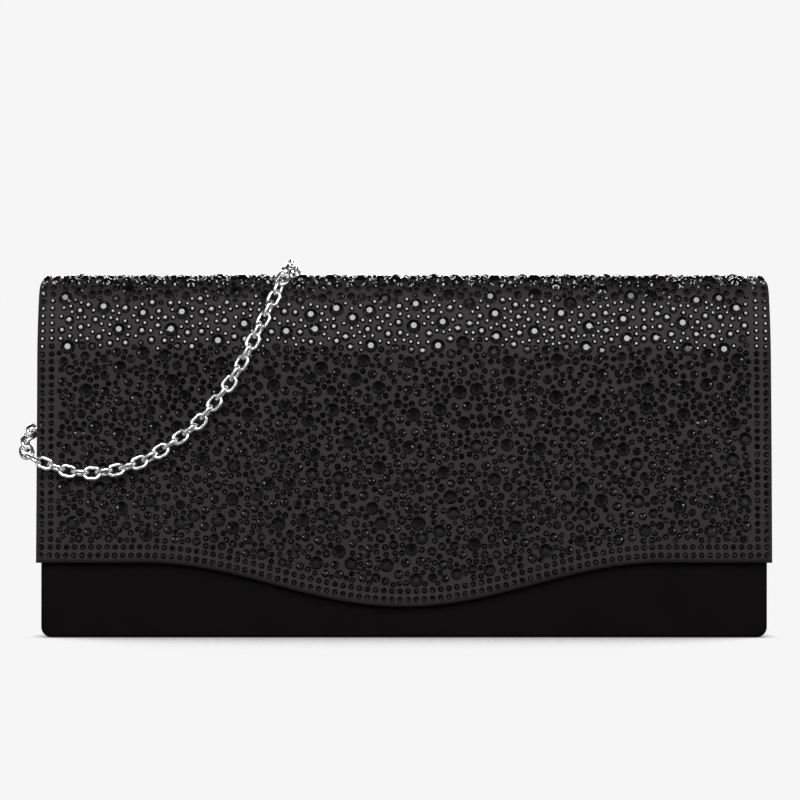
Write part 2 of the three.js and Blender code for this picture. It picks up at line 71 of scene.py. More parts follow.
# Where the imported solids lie, in millimetres
SATIN_LOW, SATIN_HIGH = box_mm("flap_satin")
_, EDGING_HIGH = box_mm("flap_edging")
STONES_LOW, STONES_HIGH = box_mm("flap_stones")
FRONT_LOW, FRONT_HIGH = box_mm("front_satin")
_, BACK_HIGH = box_mm("back_satin")
FRONT_LINING_LOW, FRONT_LINING_HIGH = box_mm("front_lining")
BACK_LINING_LOW, BACK_LINING_HIGH = box_mm("back_lining")
BASE_LOW, BASE_HIGH = box_mm("base_satin")
BASE_LINING_LOW, BASE_LINING_HIGH = box_mm("base_lining")
GUSSET_LOW, GUSSET_HIGH = box_mm("gusset_right")
GUSSET_LINING_LOW, GUSSET_LINING_HIGH = box_mm("gusset_lining_right")
POCKET_LOW, POCKET_HIGH = box_mm("pocket_panel")
HEM_LOW, HEM_HIGH = box_mm("pocket_hem")
BINDING_LOW, BINDING_HIGH = box_mm("mouth_binding")
TAB_LOW, TAB_HIGH = box_mm("ring_tab_right")
TIE_LOW, TIE_HIGH = box_mm("chain_tie")

# The flap's outer line, from its front edge over the top to the hinge
SLOPE = math.radians(22)
SLOPE_RADIUS = 60
FRONT_RADIUS = 10
BACK_RADIUS = 9
FLAP_TAPER = 0.6
FLAP_CORNER = 3
FLAP_SIDE_EDGE = 25.5
FLAP_DIP = 15
FLAP_DIP_HALF = 88
STONE_END = math.radians(60)
BODY_CORNER = 3.5
RING_BAR_HEIGHT = 104
GUSSET_FOLD_LOW = 3
GUSSET_FOLD_HIGH = 11

FRONT_Y = SATIN_LOW[1]
BACK_Y = SATIN_HIGH[1]
TOP_Z = SATIN_HIGH[2]
FLAP_HALF = EDGING_HIGH[0]
MIDDLE_Y = (GUSSET_LOW[1] + GUSSET_HIGH[1]) / 2


class Profile:
    """The flap's line by its length s, and the straight fall of the back panel below the hinge."""

    def __init__(self):
        self.slope_z = TOP_Z - FRONT_RADIUS - (SLOPE_RADIUS - FRONT_RADIUS) * math.sin(SLOPE)
        flat_y = FRONT_Y + SLOPE_RADIUS * (1 - math.cos(SLOPE)) + FRONT_RADIUS * math.cos(SLOPE)
        self.hinge_z = TOP_Z - BACK_RADIUS
        back_y = BACK_Y - BACK_RADIUS
        self.arcs = [
            ((FRONT_Y + SLOPE_RADIUS, self.slope_z), SLOPE_RADIUS, 0, SLOPE),
            ((flat_y, TOP_Z - FRONT_RADIUS), FRONT_RADIUS, SLOPE, math.pi / 2),
            ((back_y, TOP_Z - BACK_RADIUS), BACK_RADIUS, math.pi / 2, math.pi),
        ]
        self.s_slope = self.slope_z
        self.s_front = self.s_slope + SLOPE_RADIUS * SLOPE
        self.s_flat = self.s_front + FRONT_RADIUS * (math.pi / 2 - SLOPE)
        self.s_back = self.s_flat + back_y - flat_y
        self.s_hinge = self.s_back + BACK_RADIUS * math.pi / 2
        self.s_stones = self.s_back + BACK_RADIUS * STONE_END
        self.s_foot = self.s_hinge + self.hinge_z
        self.flat_y = flat_y

    def angle(self, s):
        """How far the outward normal has turned: 0 at the front, pi / 2 on top, pi at the back."""
        knots = [0, self.s_slope, self.s_front, self.s_flat, self.s_back, self.s_hinge, self.s_foot]
        turns = [0, 0, SLOPE, math.pi / 2, math.pi / 2, math.pi, math.pi]
        return np.interp(s, knots, turns)

    def point(self, s, depth):
        """Y and Z at length s, moved inwards by depth."""
        s = np.asarray(s, float)
        turn = self.angle(s)
        ny, nz = -np.cos(turn), np.sin(turn)
        y = np.full(s.shape, FRONT_Y)
        z = s.copy()
        for (cy, cz), radius, low, high in self.arcs:
            start = {0: self.s_slope, SLOPE: self.s_front, math.pi / 2: self.s_back}[low]
            inside = (s >= start) & (s <= start + radius * (high - low) + 1e-9)
            y = np.where(inside, cy + radius * ny, y)
            z = np.where(inside, cz + radius * nz, z)
        flat = (s > self.s_flat) & (s < self.s_back)
        y = np.where(flat, self.flat_y + s - self.s_flat, y)
        z = np.where(flat, TOP_Z, z)
        fall = s > self.s_hinge
        y = np.where(fall, BACK_Y, y)
        z = np.where(fall, self.hinge_z - (s - self.s_hinge), z)
        return y - ny * depth, z - nz * depth


PROFILE = Profile()
COVER_EDGE = 1.8


def flap_edge(x):
    """Height of the flap's lower edge."""
    share = np.minimum(np.abs(x) / FLAP_DIP_HALF, 1)
    return FLAP_SIDE_EDGE - FLAP_DIP * (1 + np.cos(np.pi * share)) / 2


def flap_half(z):
    """Half the flap's width at a height."""
    full_top = STONES_HIGH[2]
    half = FLAP_HALF - FLAP_TAPER * (z - FLAP_SIDE_EDGE) / (full_top - FLAP_SIDE_EDGE)
    rise = np.clip(z - (full_top - FLAP_CORNER), 0, FLAP_CORNER)
    corner = FLAP_CORNER - np.sqrt(FLAP_CORNER**2 - rise**2)
    return half - corner


# Mesh helpers: everything is drawn in millimetres and stored in metres
def new_object(name, verts, faces, materials, smooth=True, face_material=None):
    mesh = bpy.data.meshes.new(name)
    mesh.from_pydata((np.asarray(verts, float) * MM).tolist(), [], [list(f) for f in faces])
    mesh.validate()
    if smooth:
        mesh.shade_smooth()
    for material in materials:
        mesh.materials.append(material)
    if face_material is not None:
        mesh.polygons.foreach_set("material_index", np.asarray(face_material, np.int32))
    mesh.update()
    piece = bpy.data.objects.new(name, mesh)
    bpy.context.scene.collection.objects.link(piece)
    return piece


def grid_faces(rows, columns, start=0):
    faces = []
    for row in range(rows - 1):
        for column in range(columns - 1):
            a = start + row * columns + column
            faces.append((a, a + 1, a + columns + 1, a + columns))
    return faces


def thickened(verts, faces, thickness):
    """A closed sheet: a second layer inside the first one, joined along the free edges."""
    verts = np.asarray(verts, float)
    normals = np.zeros_like(verts)
    edges = {}
    for face in faces:
        corners = verts[list(face)]
        normal = np.cross(corners[2] - corners[0], corners[-1] - corners[1])
        for index in face:
            normals[index] += normal
        for a, b in zip(face, face[1:] + face[:1]):
            edges[(a, b)] = edges.get((a, b), 0) + 1
    lengths = np.linalg.norm(normals, axis=1, keepdims=True)
    normals /= np.maximum(lengths, 1e-9)
    count = len(verts)
    both = np.vstack([verts, verts - normals * thickness])
    closed = [tuple(f) for f in faces] + [tuple(i + count for i in reversed(f)) for f in faces]
    for a, b in edges:
        if (b, a) not in edges:
            closed.append((b, a, a + count, b + count))
    return both, closed


def cloth(name, verts, faces, thickness, material, wave=0.0, other=None, others=()):
    verts = np.asarray(verts, float)
    if wave:
        verts = verts + wave * drift(verts)
    both, closed = thickened(verts, faces, thickness)
    if other is None:
        return new_object(name, both, closed, [material])
    marks = np.zeros(len(closed), int)
    marks[: len(faces)] = others
    return new_object(name, both, closed, [material, other], face_material=marks)


def drift(points):
    """A slow, even wander of cloth that no board holds perfectly flat."""
    x, y, z = points.T
    out = np.zeros_like(points)
    out[:, 0] = 0.25 * np.sin(z / 17 + y / 9)
    out[:, 1] = np.sin(x / 31 + z / 23) * 0.55 + np.sin(x / 13 - z / 11 + 1.7) * 0.25
    out[:, 2] = 0.3 * np.sin(x / 37 + 0.4)
    return out


def edge_rings(radius, margin, steps=9):
    """How cloth turns round a panel's edge: each ring's inset, and its share of the full depth."""
    turns = [n * math.pi / steps for n in range(1, steps + 1)]
    rings = [(radius * (1 - math.sin(turn)), (1 - math.cos(turn)) / 2) for turn in turns]
    return rings + [((radius + margin) / 2, 1.0), (margin, 1.0)]


def turned_panel(place, rows, columns, radius, margin):
    """A panel with its cloth turned round all four edges. place(u, v, inset, depth) gives points for
    arrays u from -1 to 1 and v from 0 to 1, with the depth as a share of the panel's."""
    uu, vv = np.meshgrid(columns, rows)
    verts = [place(uu, vv, radius, 0.0).reshape(-1, 3)]
    wide, tall = len(columns), len(rows)
    faces = grid_faces(tall, wide)
    loop = [(0, c) for c in range(wide)]
    loop += [(r, wide - 1) for r in range(1, tall)]
    loop += [(tall - 1, c) for c in range(wide - 2, -1, -1)]
    loop += [(r, 0) for r in range(tall - 2, 0, -1)]
    lu = np.array([columns[c] for _, c in loop])
    lv = np.array([rows[r] for r, _ in loop])
    previous = [r * wide + c for r, c in loop]
    base = tall * wide
    for inset, share in edge_rings(radius, margin):
        verts.append(place(lu, lv, inset, share).reshape(-1, 3))
        ring = list(range(base, base + len(loop)))
        for n in range(len(loop)):
            m = (n + 1) % len(loop)
            faces.append((previous[m], previous[n], ring[n], ring[m]))
        previous = ring
        base += len(loop)
    return np.vstack(verts), faces


# Shader helpers
def new_group(name, inputs, outputs):
    group = bpy.data.node_groups.new(name, "ShaderNodeTree")
    for label, kind, default in inputs:
        socket = group.interface.new_socket(name=label, in_out="INPUT", socket_type=kind)
        if default is not None:
            socket.default_value = default
    for label, kind in outputs:
        group.interface.new_socket(name=label, in_out="OUTPUT", socket_type=kind)
    enter = group.nodes.new("NodeGroupInput")
    leave = group.nodes.new("NodeGroupOutput")
    return group, enter.outputs, leave.inputs


def add_node(tree, kind, links=(), **settings):
    """A node with its settings; links pairs an input's name or number with a value or a socket."""
    node = tree.nodes.new(kind)
    for key, value in settings.items():
        setattr(node, key, value)
    for key, value in links:
        if isinstance(value, bpy.types.NodeSocket):
            tree.links.new(value, node.inputs[key])
        else:
            node.inputs[key].default_value = value
    return node


def ramp(tree, factor, stops):
    node = add_node(tree, "ShaderNodeValToRGB", [("Fac", factor)])
    while len(node.color_ramp.elements) < len(stops):
        node.color_ramp.elements.new(0.5)
    for element, (position, colour) in zip(node.color_ramp.elements, stops):
        element.position = position
        element.color = (*colour, 1)
    return node.outputs["Color"]


def mix_colours(tree, factor, first, second, blend_type="MIX"):
    node = tree.nodes.new("ShaderNodeMix")
    node.data_type = "RGBA"
    node.blend_type = blend_type
    for index, value in ((0, factor), (6, first), (7, second)):
        if isinstance(value, bpy.types.NodeSocket):
            tree.links.new(value, node.inputs[index])
        else:
            node.inputs[index].default_value = value if index == 0 else (*value, 1)
    return node.outputs[2]


def math_node(tree, operation, first, second, third=None):
    links = [(0, first), (1, second)]
    if third is not None:
        links.append((2, third))
    return add_node(tree, "ShaderNodeMath", links, operation=operation).outputs[0]


def cloth_threads():
    """Threads of a fine cloth: a height, and a tone that varies from thread to thread."""
    name = "Cloth Threads"
    if name in bpy.data.node_groups:
        return bpy.data.node_groups[name]
    inputs = [
        ("Threads per Metre", "NodeSocketFloat", 5000.0),
        ("Float", "NodeSocketFloat", 8.0),
        ("Slub", "NodeSocketFloat", 0.5),
    ]
    outputs = [("Height", "NodeSocketFloat"), ("Tone", "NodeSocketFloat")]
    group, enter, leave = new_group(name, inputs, outputs)
    where = add_node(group, "ShaderNodeTexCoord").outputs["Object"]
    apart = add_node(group, "ShaderNodeSeparateXYZ", [(0, where)]).outputs
    depth_up = math_node(group, "ADD", apart[1], apart[2])
    across = math_node(group, "MULTIPLY", apart[0], enter["Threads per Metre"])
    along = math_node(group, "MULTIPLY", depth_up, enter["Threads per Metre"])
    along = math_node(group, "DIVIDE", along, enter["Float"])
    fine = add_node(group, "ShaderNodeCombineXYZ", [(0, across), (1, along)]).outputs[0]
    threads = add_node(group, "ShaderNodeTexNoise", [("Vector", fine), ("Scale", 1.0), ("Detail", 2.0)])
    cells = add_node(group, "ShaderNodeTexNoise", [("Vector", where), ("Scale", 60.0), ("Detail", 3.0)])
    slubs = math_node(group, "MULTIPLY", cells.outputs["Fac"], enter["Slub"])
    height = math_node(group, "ADD", threads.outputs["Fac"], slubs)
    group.links.new(height, leave["Height"])
    tone = math_node(group, "MULTIPLY_ADD", threads.outputs["Fac"], 0.5, slubs)
    group.links.new(tone, leave["Tone"])
    return group


def wear_marks():
    """Rubbed places and hair scratches on a hard finish."""
    name = "Wear Marks"
    if name in bpy.data.node_groups:
        return bpy.data.node_groups[name]
    inputs = [("Scale", "NodeSocketFloat", 400.0), ("Amount", "NodeSocketFloat", 0.2)]
    outputs = [("Mask", "NodeSocketFloat"), ("Height", "NodeSocketFloat")]
    group, enter, leave = new_group(name, inputs, outputs)
    where = add_node(group, "ShaderNodeTexCoord").outputs["Object"]
    noise_inputs = [("Vector", where), ("Scale", enter["Scale"]), ("Detail", 4.0)]
    noise = add_node(group, "ShaderNodeTexNoise", noise_inputs)
    stretched = add_node(group, "ShaderNodeMapping", [("Vector", where), ("Scale", (1.0, 6.0, 0.35))])
    lines = add_node(
        group,
        "ShaderNodeTexNoise",
        [("Vector", stretched.outputs[0]), ("Scale", enter["Scale"]), ("Detail", 2.0)],
    )
    both = math_node(group, "MULTIPLY", noise.outputs["Fac"], lines.outputs["Fac"])
    mask = math_node(group, "MULTIPLY", both, enter["Amount"])
    group.links.new(mask, leave["Mask"])
    group.links.new(lines.outputs["Fac"], leave["Height"])
    return group


def start_material(name, **values):
    material = bpy.data.materials.new(name)
    material.use_nodes = True
    tree = material.node_tree
    shader = tree.nodes["Principled BSDF"]
    for key, value in values.items():
        shader.inputs[key.replace("_", " ").title().replace("Ior", "IOR")].default_value = value
    return material, tree, shader


def use_group(tree, group, **values):
    node = tree.nodes.new("ShaderNodeGroup")
    node.node_tree = group
    for key, value in values.items():
        node.inputs[key.replace("_", " ").title().replace(" Per ", " per ")].default_value = value
    return node.outputs


def add_bump(tree, shader, height, strength, distance):
    bump_inputs = [("Strength", strength), ("Distance", distance), ("Height", height)]
    bump = add_node(tree, "ShaderNodeBump", bump_inputs)
    tree.links.new(bump.outputs["Normal"], shader.inputs["Normal"])


def cloth_material(name, dark, light, rough, threads, float_length, bump, sheen, gloss, slub=0.5):
    """Woven cloth: its colour and roughness follow the threads."""
    material, tree, shader = start_material(name, sheen_weight=sheen, sheen_roughness=0.4)
    shader.inputs["Specular IOR Level"].default_value = gloss
    weave = use_group(tree, cloth_threads(), threads_per_metre=threads, float=float_length, slub=slub)
    tree.links.new(ramp(tree, weave["Tone"], [(0.3, dark), (0.75, light)]), shader.inputs["Base Color"])
    low, high = rough
    spread = add_node(
        tree,
        "ShaderNodeMapRange",
        [("Value", weave["Tone"]), ("From Min", 0.3), ("From Max", 0.75), ("To Min", low), ("To Max", high)],
    )
    tree.links.new(spread.outputs[0], shader.inputs["Roughness"])
    add_bump(tree, shader, weave["Height"], bump, 0.0001)
    return material


def metal_material(name, colour, rough, amount):
    material, tree, shader = start_material(name, metallic=1.0)
    wear = use_group(tree, wear_marks(), scale=500.0, amount=amount)
    worn = tuple(0.8 * c for c in colour)
    base_colour = ramp(tree, wear["Mask"], [(0.0, colour), (amount * 0.6, worn)])
    tree.links.new(base_colour, shader.inputs["Base Color"])
    roughness = math_node(tree, "ADD", wear["Mask"], rough)
    tree.links.new(roughness, shader.inputs["Roughness"])
    add_bump(tree, shader, wear["Height"], 0.05, 0.00002)
    return material


def jet_material():
    """Jet-black cut glass, faintly smudged."""
    material, tree, shader = start_material("jet stones", ior=1.55)
    wear = use_group(tree, wear_marks(), scale=90.0, amount=0.25)
    tree.links.new(
        ramp(tree, wear["Mask"], [(0.0, (0.0008, 0.0008, 0.0009)), (0.2, (0.003, 0.0028, 0.0028))]),
        shader.inputs["Base Color"],
    )
    tree.links.new(math_node(tree, "MULTIPLY_ADD", wear["Mask"], 0.8, 0.03), shader.inputs["Roughness"])
    return material


def fibre_material(name, dark, light, scale, rough, bump):
    """Pressed board or soft padding: a fine fibrous tone."""
    material, tree, shader = start_material(name)
    where = add_node(tree, "ShaderNodeTexCoord").outputs["Object"]
    noise = add_node(tree, "ShaderNodeTexNoise", [("Vector", where), ("Scale", scale), ("Detail", 6.0)])
    base_colour = ramp(tree, noise.outputs["Fac"], [(0.35, dark), (0.7, light)])
    tree.links.new(base_colour, shader.inputs["Base Color"])
    roughness = math_node(tree, "MULTIPLY_ADD", noise.outputs["Fac"], 0.1, rough)
    tree.links.new(roughness, shader.inputs["Roughness"])
    add_bump(tree, shader, noise.outputs["Fac"], bump, 0.0002)
    return material


MATERIALS = {}


def finish(name):
    """The named finish, made once."""
    if name in MATERIALS:
        return MATERIALS[name]
    looks = bpy.context.scene.bag_looks
    ground, body, lining = (tuple(c) for c in (looks.ground, looks.body, looks.lining))

    def lighter(colour, by):
        return tuple(min(1.0, by * c) for c in colour)

    makers = {
        "ground": lambda: cloth_material(
            "flap satin", lighter(ground, 0.75), lighter(ground, 1.35), (0.5, 0.68), 5200.0, 7.0, 0.12, 0.03, 0.12
        ),
        "satin": lambda: cloth_material(
            "body satin", lighter(body, 0.75), lighter(body, 1.4), (0.36, 0.48), 5200.0, 9.0, 0.06, 0.0, 0.03, slub=0.3
        ),
        "lining": lambda: cloth_material(
            "lining twill", lighter(lining, 0.7), lighter(lining, 1.5), (0.55, 0.75), 3800.0, 2.5, 0.2, 0.05, 0.2
        ),
        "ribbon": lambda: cloth_material(
            "ribbon", lighter(body, 0.8), lighter(body, 1.7), (0.3, 0.45), 4200.0, 6.0, 0.1, 0.05, 0.2
        ),
        "thread": lambda: cloth_material(
            "sewing thread", lighter(body, 1.2), lighter(body, 2.4), (0.4, 0.6), 9000.0, 2.0, 0.2, 0.1, 0.2
        ),
        "silver": lambda: metal_material("bright plating", tuple(looks.metal), 0.2, 0.25),
        "magnet": lambda: metal_material("dull plating", (0.42, 0.42, 0.43), 0.28, 0.4),
        "stones": jet_material,
        "board": lambda: fibre_material(
            "grey board", (0.24, 0.19, 0.14), (0.4, 0.33, 0.25), 700.0, 0.85, 0.3
        ),
        "foam": lambda: fibre_material(
            "padding", (0.6, 0.58, 0.52), (0.78, 0.76, 0.7), 1500.0, 0.88, 0.4
        ),
    }
    MATERIALS[name] = makers[name]()
    return MATERIALS[name]


def dress(piece, replaced=(), body="bag"):
    """Hangs a piece on the body that it rides on, and hides the imported nodes that it stands for."""
    if body:
        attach(piece, body)
    if replaced:
        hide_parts(*replaced)
    return piece


# Satin over the flap, the top and the back: one cloth from the flap's lower edge to the foot
COVER_ON_FLAP = 4.0
COVER_AT_HINGE = 1.3
COVER_ON_BACK = 2.5


def below_hinge(s):
    """0 on the flap and 1 on the back panel, turning smoothly over 8 mm about the hinge."""
    ease = np.clip((s - PROFILE.s_hinge + 4) / 8, 0, 1)
    return ease * ease * (3 - 2 * ease)


def cover_half(s, z):
    """Half the cover's width: the flap's, easing into the back panel's below the hinge."""
    ease = below_hinge(s)
    return flap_half(z) * (1 - ease) + BACK_HIGH[0] * ease


def cover_deep(s):
    """How thick the covered edge is: the flap's boards, thin at the hinge, then the back's board."""
    from_hinge = [-8, -3, 2, 6]
    deep = [COVER_ON_FLAP, COVER_AT_HINGE, COVER_AT_HINGE, COVER_ON_BACK]
    return np.interp(s, [PROFILE.s_hinge + step for step in from_hinge], deep)


def place_cover(u, v, inset, share):
    """Points of the cover: u across, v from the flap's edge to the foot, share of the edge's depth."""
    start = flap_edge(u * FLAP_HALF) + inset
    finish_s = PROFILE.s_foot - inset
    s = start + (finish_s - start) * v
    depth = share * cover_deep(s)
    y, z = PROFILE.point(s, depth)
    _, z_outer = PROFILE.point(s, np.zeros_like(s))
    half = cover_half(s, z_outer) - inset
    left = np.clip(BODY_CORNER - (PROFILE.s_foot - s), 0, BODY_CORNER)
    half = half - (BODY_CORNER - np.sqrt(np.maximum(BODY_CORNER**2 - left**2, 0)))
    return np.stack([u * half, y, z], axis=-1)


def eased(count, ends, low, high):
    """Even steps with extra ones near both ends."""
    middle = np.linspace(low + ends[-1], high - ends[-1], count)
    first = [low + e for e in ends[:-1]]
    last = [high - e for e in reversed(ends[:-1])]
    return np.concatenate([first, middle, last])


class BagLooks(bpy.types.PropertyGroup):
    """Colours that a user would change."""

    ground: bpy.props.FloatVectorProperty(
        name="Flap satin",
        description="Satin under the stones",
        subtype="COLOR",
        default=(0.0180, 0.0150, 0.0155),
    )
    body: bpy.props.FloatVectorProperty(
        name="Body satin",
        description="Satin of the body",
        subtype="COLOR",
        default=(0.0028, 0.0022, 0.0023),
    )
    lining: bpy.props.FloatVectorProperty(
        name="Lining",
        description="Cloth inside the bag",
        subtype="COLOR",
        default=(0.014, 0.013, 0.0145),
    )
    metal: bpy.props.FloatVectorProperty(
        name="Plating",
        description="Chain, rings and clasps",
        subtype="COLOR",
        default=(0.93, 0.93, 0.93),
    )


class ChainSizes(bpy.types.PropertyGroup):
    """Sizes of the chain's links."""

    length: bpy.props.FloatProperty(
        name="Link length", description="Outside", default=0.0068, unit="LENGTH", min=0.002
    )
    width: bpy.props.FloatProperty(
        name="Link width", description="Outside", default=0.0052, unit="LENGTH", min=0.002
    )
    wire: bpy.props.FloatProperty(
        name="Wire", description="Thickness of the wire", default=0.00135, unit="LENGTH", min=0.0005
    )
    pitch: bpy.props.FloatProperty(
        name="Pitch", description="From one link to the next", default=0.0041, unit="LENGTH", min=0.001
    )


class StoneSizes(bpy.types.PropertyGroup):
    """Sizes of the set stones."""

    small: bpy.props.FloatProperty(
        name="Small stone", description="Across", default=0.0021, unit="LENGTH", min=0.001
    )
    medium: bpy.props.FloatProperty(
        name="Medium stone", description="Across", default=0.0030, unit="LENGTH", min=0.001
    )
    large: bpy.props.FloatProperty(
        name="Large stone", description="Across", default=0.0043, unit="LENGTH", min=0.001
    )
    gap: bpy.props.FloatProperty(
        name="Gap", description="Least satin between stones", default=0.00012, unit="LENGTH", min=0
    )
    seed: bpy.props.IntProperty(name="Seed", description="Which scatter", default=7)


# Chain routes in metres, as in the part: clasp, round the left edge, across the front, over the
# top and down behind; and from the hank back up to the right clasp
FRONT_ROUTE = [
    (-0.1197, 0.0030, 0.0779), (-0.1202, 0.0006, 0.0746), (-0.1223, -0.0044, 0.0726),
    (-0.1256, -0.0104, 0.0712), (-0.1276, -0.0162, 0.0690), (-0.1282, -0.0214, 0.0652),
    (-0.1264, -0.0248, 0.0616), (-0.1216, -0.0253, 0.0596), (-0.1134, -0.0252, 0.0568),
    (-0.1039, -0.0252, 0.0562), (-0.0947, -0.0252, 0.0579), (-0.0857, -0.0252, 0.0615),
    (-0.0780, -0.0252, 0.0666), (-0.0702, -0.0252, 0.0725), (-0.0644, -0.0252, 0.0794),
    (-0.0586, -0.0252, 0.0869), (-0.0535, -0.0250, 0.0958), (-0.0494, -0.0243, 0.1041),
    (-0.0454, -0.0228, 0.1125), (-0.0420, -0.0203, 0.1200), (-0.0396, -0.0144, 0.1254),
    (-0.0389, -0.0070, 0.1269), (-0.0388, 0.0020, 0.1269), (-0.0386, 0.0124, 0.1269),
    (-0.0384, 0.0216, 0.1243), (-0.0380, 0.0259, 0.1162), (-0.0370, 0.0254, 0.1000),
    (-0.0340, 0.0254, 0.0720), (-0.0310, 0.0256, 0.0400), (-0.0274, 0.0260, 0.0220),
    (-0.0206, 0.0268, 0.0096), (-0.0138, 0.0276, 0.0046), (-0.0070, 0.0280, 0.0036),
]
RETURN_ROUTE = [
    (0.0950, 0.0280, 0.0194), (0.1074, 0.0284, 0.0244), (0.1184, 0.0282, 0.0314),
    (0.1250, 0.0256, 0.0396), (0.1270, 0.0196, 0.0474), (0.1246, 0.0124, 0.0554),
    (0.1214, 0.0066, 0.0634), (0.1198, 0.0034, 0.0714), (0.1197, 0.0030, 0.0779),
]
# Painted shadow on the floor: tones that the floor's glow takes from occlusion, a wide shade thrown to the front of
# the bag and a thin contact line round its foot
FLOOR_SHADE = [(0.24, (0.2, 0.2, 0.2)), (0.33, (0.7, 0.7, 0.7)), (0.5, (0.921, 0.921, 0.921))]
CONTACT_SHADE = [(0.3, (0.05, 0.05, 0.05)), (0.95, (0.921, 0.921, 0.921))]
HANK_FROM = 5.0
HANK_TO = 83.0
HANK_NEAR = 28.0
HANK_BEND = 13.0
HANK_TURNS = 3
HANK_START_Z = 3.2
HANK_END_Z = 18.8


def spline(points, per_span=12):
    """A smooth line through the points, in millimetres."""
    p = np.asarray(points, float) / MM
    p = np.vstack([2 * p[0] - p[1], p, 2 * p[-1] - p[-2]])
    line = []
    for n in range(1, len(p) - 2):
        gaps = [max(np.linalg.norm(p[n + k] - p[n + k - 1]), 1e-6) ** 0.5 for k in range(3)]
        t0, t1 = 0.0, gaps[0]
        t2, t3 = t1 + gaps[1], t1 + gaps[1] + gaps[2]
        for t in np.linspace(t1, t2, per_span, endpoint=False):
            a1 = (t1 - t) / (t1 - t0) * p[n - 1] + (t - t0) / (t1 - t0) * p[n]
            a2 = (t2 - t) / (t2 - t1) * p[n] + (t - t1) / (t2 - t1) * p[n + 1]
            a3 = (t3 - t) / (t3 - t2) * p[n + 1] + (t - t2) / (t3 - t2) * p[n + 2]
            b1 = (t2 - t) / (t2 - t0) * a1 + (t - t0) / (t2 - t0) * a2
            b2 = (t3 - t) / (t3 - t1) * a2 + (t - t1) / (t3 - t1) * a3
            line.append((t2 - t) / (t2 - t1) * b1 + (t - t1) / (t2 - t1) * b2)
    line.append(p[-2])
    return np.array(line)


def hank_line():
    """The wound part of the chain: straight runs joined by round bends, rising evenly."""
    run = HANK_TO - HANK_FROM
    turn = 2 * run + 2 * math.pi * HANK_BEND
    total = HANK_TURNS * turn + run
    points = []
    for length in np.arange(0, total, 1.0):
        along = length % turn
        bend = math.pi * HANK_BEND
        if along < run:
            x, y = HANK_FROM + along, HANK_NEAR
        elif along < run + bend:
            angle = (along - run) / HANK_BEND
            x = HANK_TO + HANK_BEND * math.sin(angle)
            y = HANK_NEAR + HANK_BEND * (1 - math.cos(angle))
        elif along < 2 * run + bend:
            x, y = HANK_TO - (along - run - bend), HANK_NEAR + 2 * HANK_BEND
        else:
            angle = (along - 2 * run - bend) / HANK_BEND
            x = HANK_FROM - HANK_BEND * math.sin(angle)
            y = HANK_NEAR + HANK_BEND * (1 + math.cos(angle))
        z = HANK_START_Z + (HANK_END_Z - HANK_START_Z) * length / total
        points.append((x, y, z))
    return np.array(points)


def evenly(line, step):
    """Points along a line at an even step."""
    lengths = np.concatenate([[0], np.cumsum(np.linalg.norm(np.diff(line, axis=0), axis=1))])
    count = max(2, int(round(lengths[-1] / step)) + 1)
    at = np.linspace(0, lengths[-1], count)
    return np.stack([np.interp(at, lengths, line[:, k]) for k in range(3)], axis=1), lengths[-1]


def carried_frames(line, first_normal):
    """Tangents and normals that turn no more than the line does."""
    tangents = np.gradient(line, axis=0)
    tangents /= np.linalg.norm(tangents, axis=1, keepdims=True)
    normals = np.zeros_like(line)
    normal = np.asarray(first_normal, float)
    for n, tangent in enumerate(tangents):
        normal = normal - tangent * normal.dot(tangent)
        normal /= np.linalg.norm(normal)
        normals[n] = normal
    return tangents, normals


def chain_links(name, line, first_normal, around=18, wire_sides=7, lay=0.12):
    """Oval links along a line, each turned a quarter from its neighbour."""
    sizes = bpy.context.scene.chain_sizes
    pitch = sizes.pitch / MM
    places, length = evenly(line, pitch)
    tangents, normals = carried_frames(places, first_normal)
    wire = sizes.wire / MM / 2
    half_long = sizes.length / MM / 2 - wire
    half_wide = sizes.width / MM / 2 - wire
    straight = half_long - half_wide
    ring = []
    for n in range(around):
        angle = 2 * math.pi * (n + 0.5) / around
        c, s = math.cos(angle), math.sin(angle)
        ring.append(((math.copysign(straight, c) + half_wide * c, half_wide * s), (c, s)))
    rng = np.random.default_rng(11)
    verts, faces = [], []
    for n, (place, tangent, normal) in enumerate(zip(places, tangents, normals)):
        side = np.cross(tangent, normal)
        roll = lay + (math.pi / 2 if n % 2 else 0) + rng.normal(0, 0.17)
        flat = side * math.cos(roll) + normal * math.sin(roll)
        up = np.cross(tangent, flat)
        base = len(verts)
        for (a, b), (c, s) in ring:
            middle = place + tangent * a + flat * b
            outward = tangent * c + flat * s
            for m in range(wire_sides):
                angle = 2 * math.pi * m / wire_sides
                verts.append(middle + wire * (outward * math.cos(angle) + up * math.sin(angle)))
        for i in range(around):
            j = (i + 1) % around
            for m in range(wire_sides):
                k = (m + 1) % wire_sides
                faces.append(
                    (
                        base + i * wire_sides + m,
                        base + j * wire_sides + m,
                        base + j * wire_sides + k,
                        base + i * wire_sides + k,
                    )
                )
    return new_object(name, verts, faces, [finish("silver")]), places, length


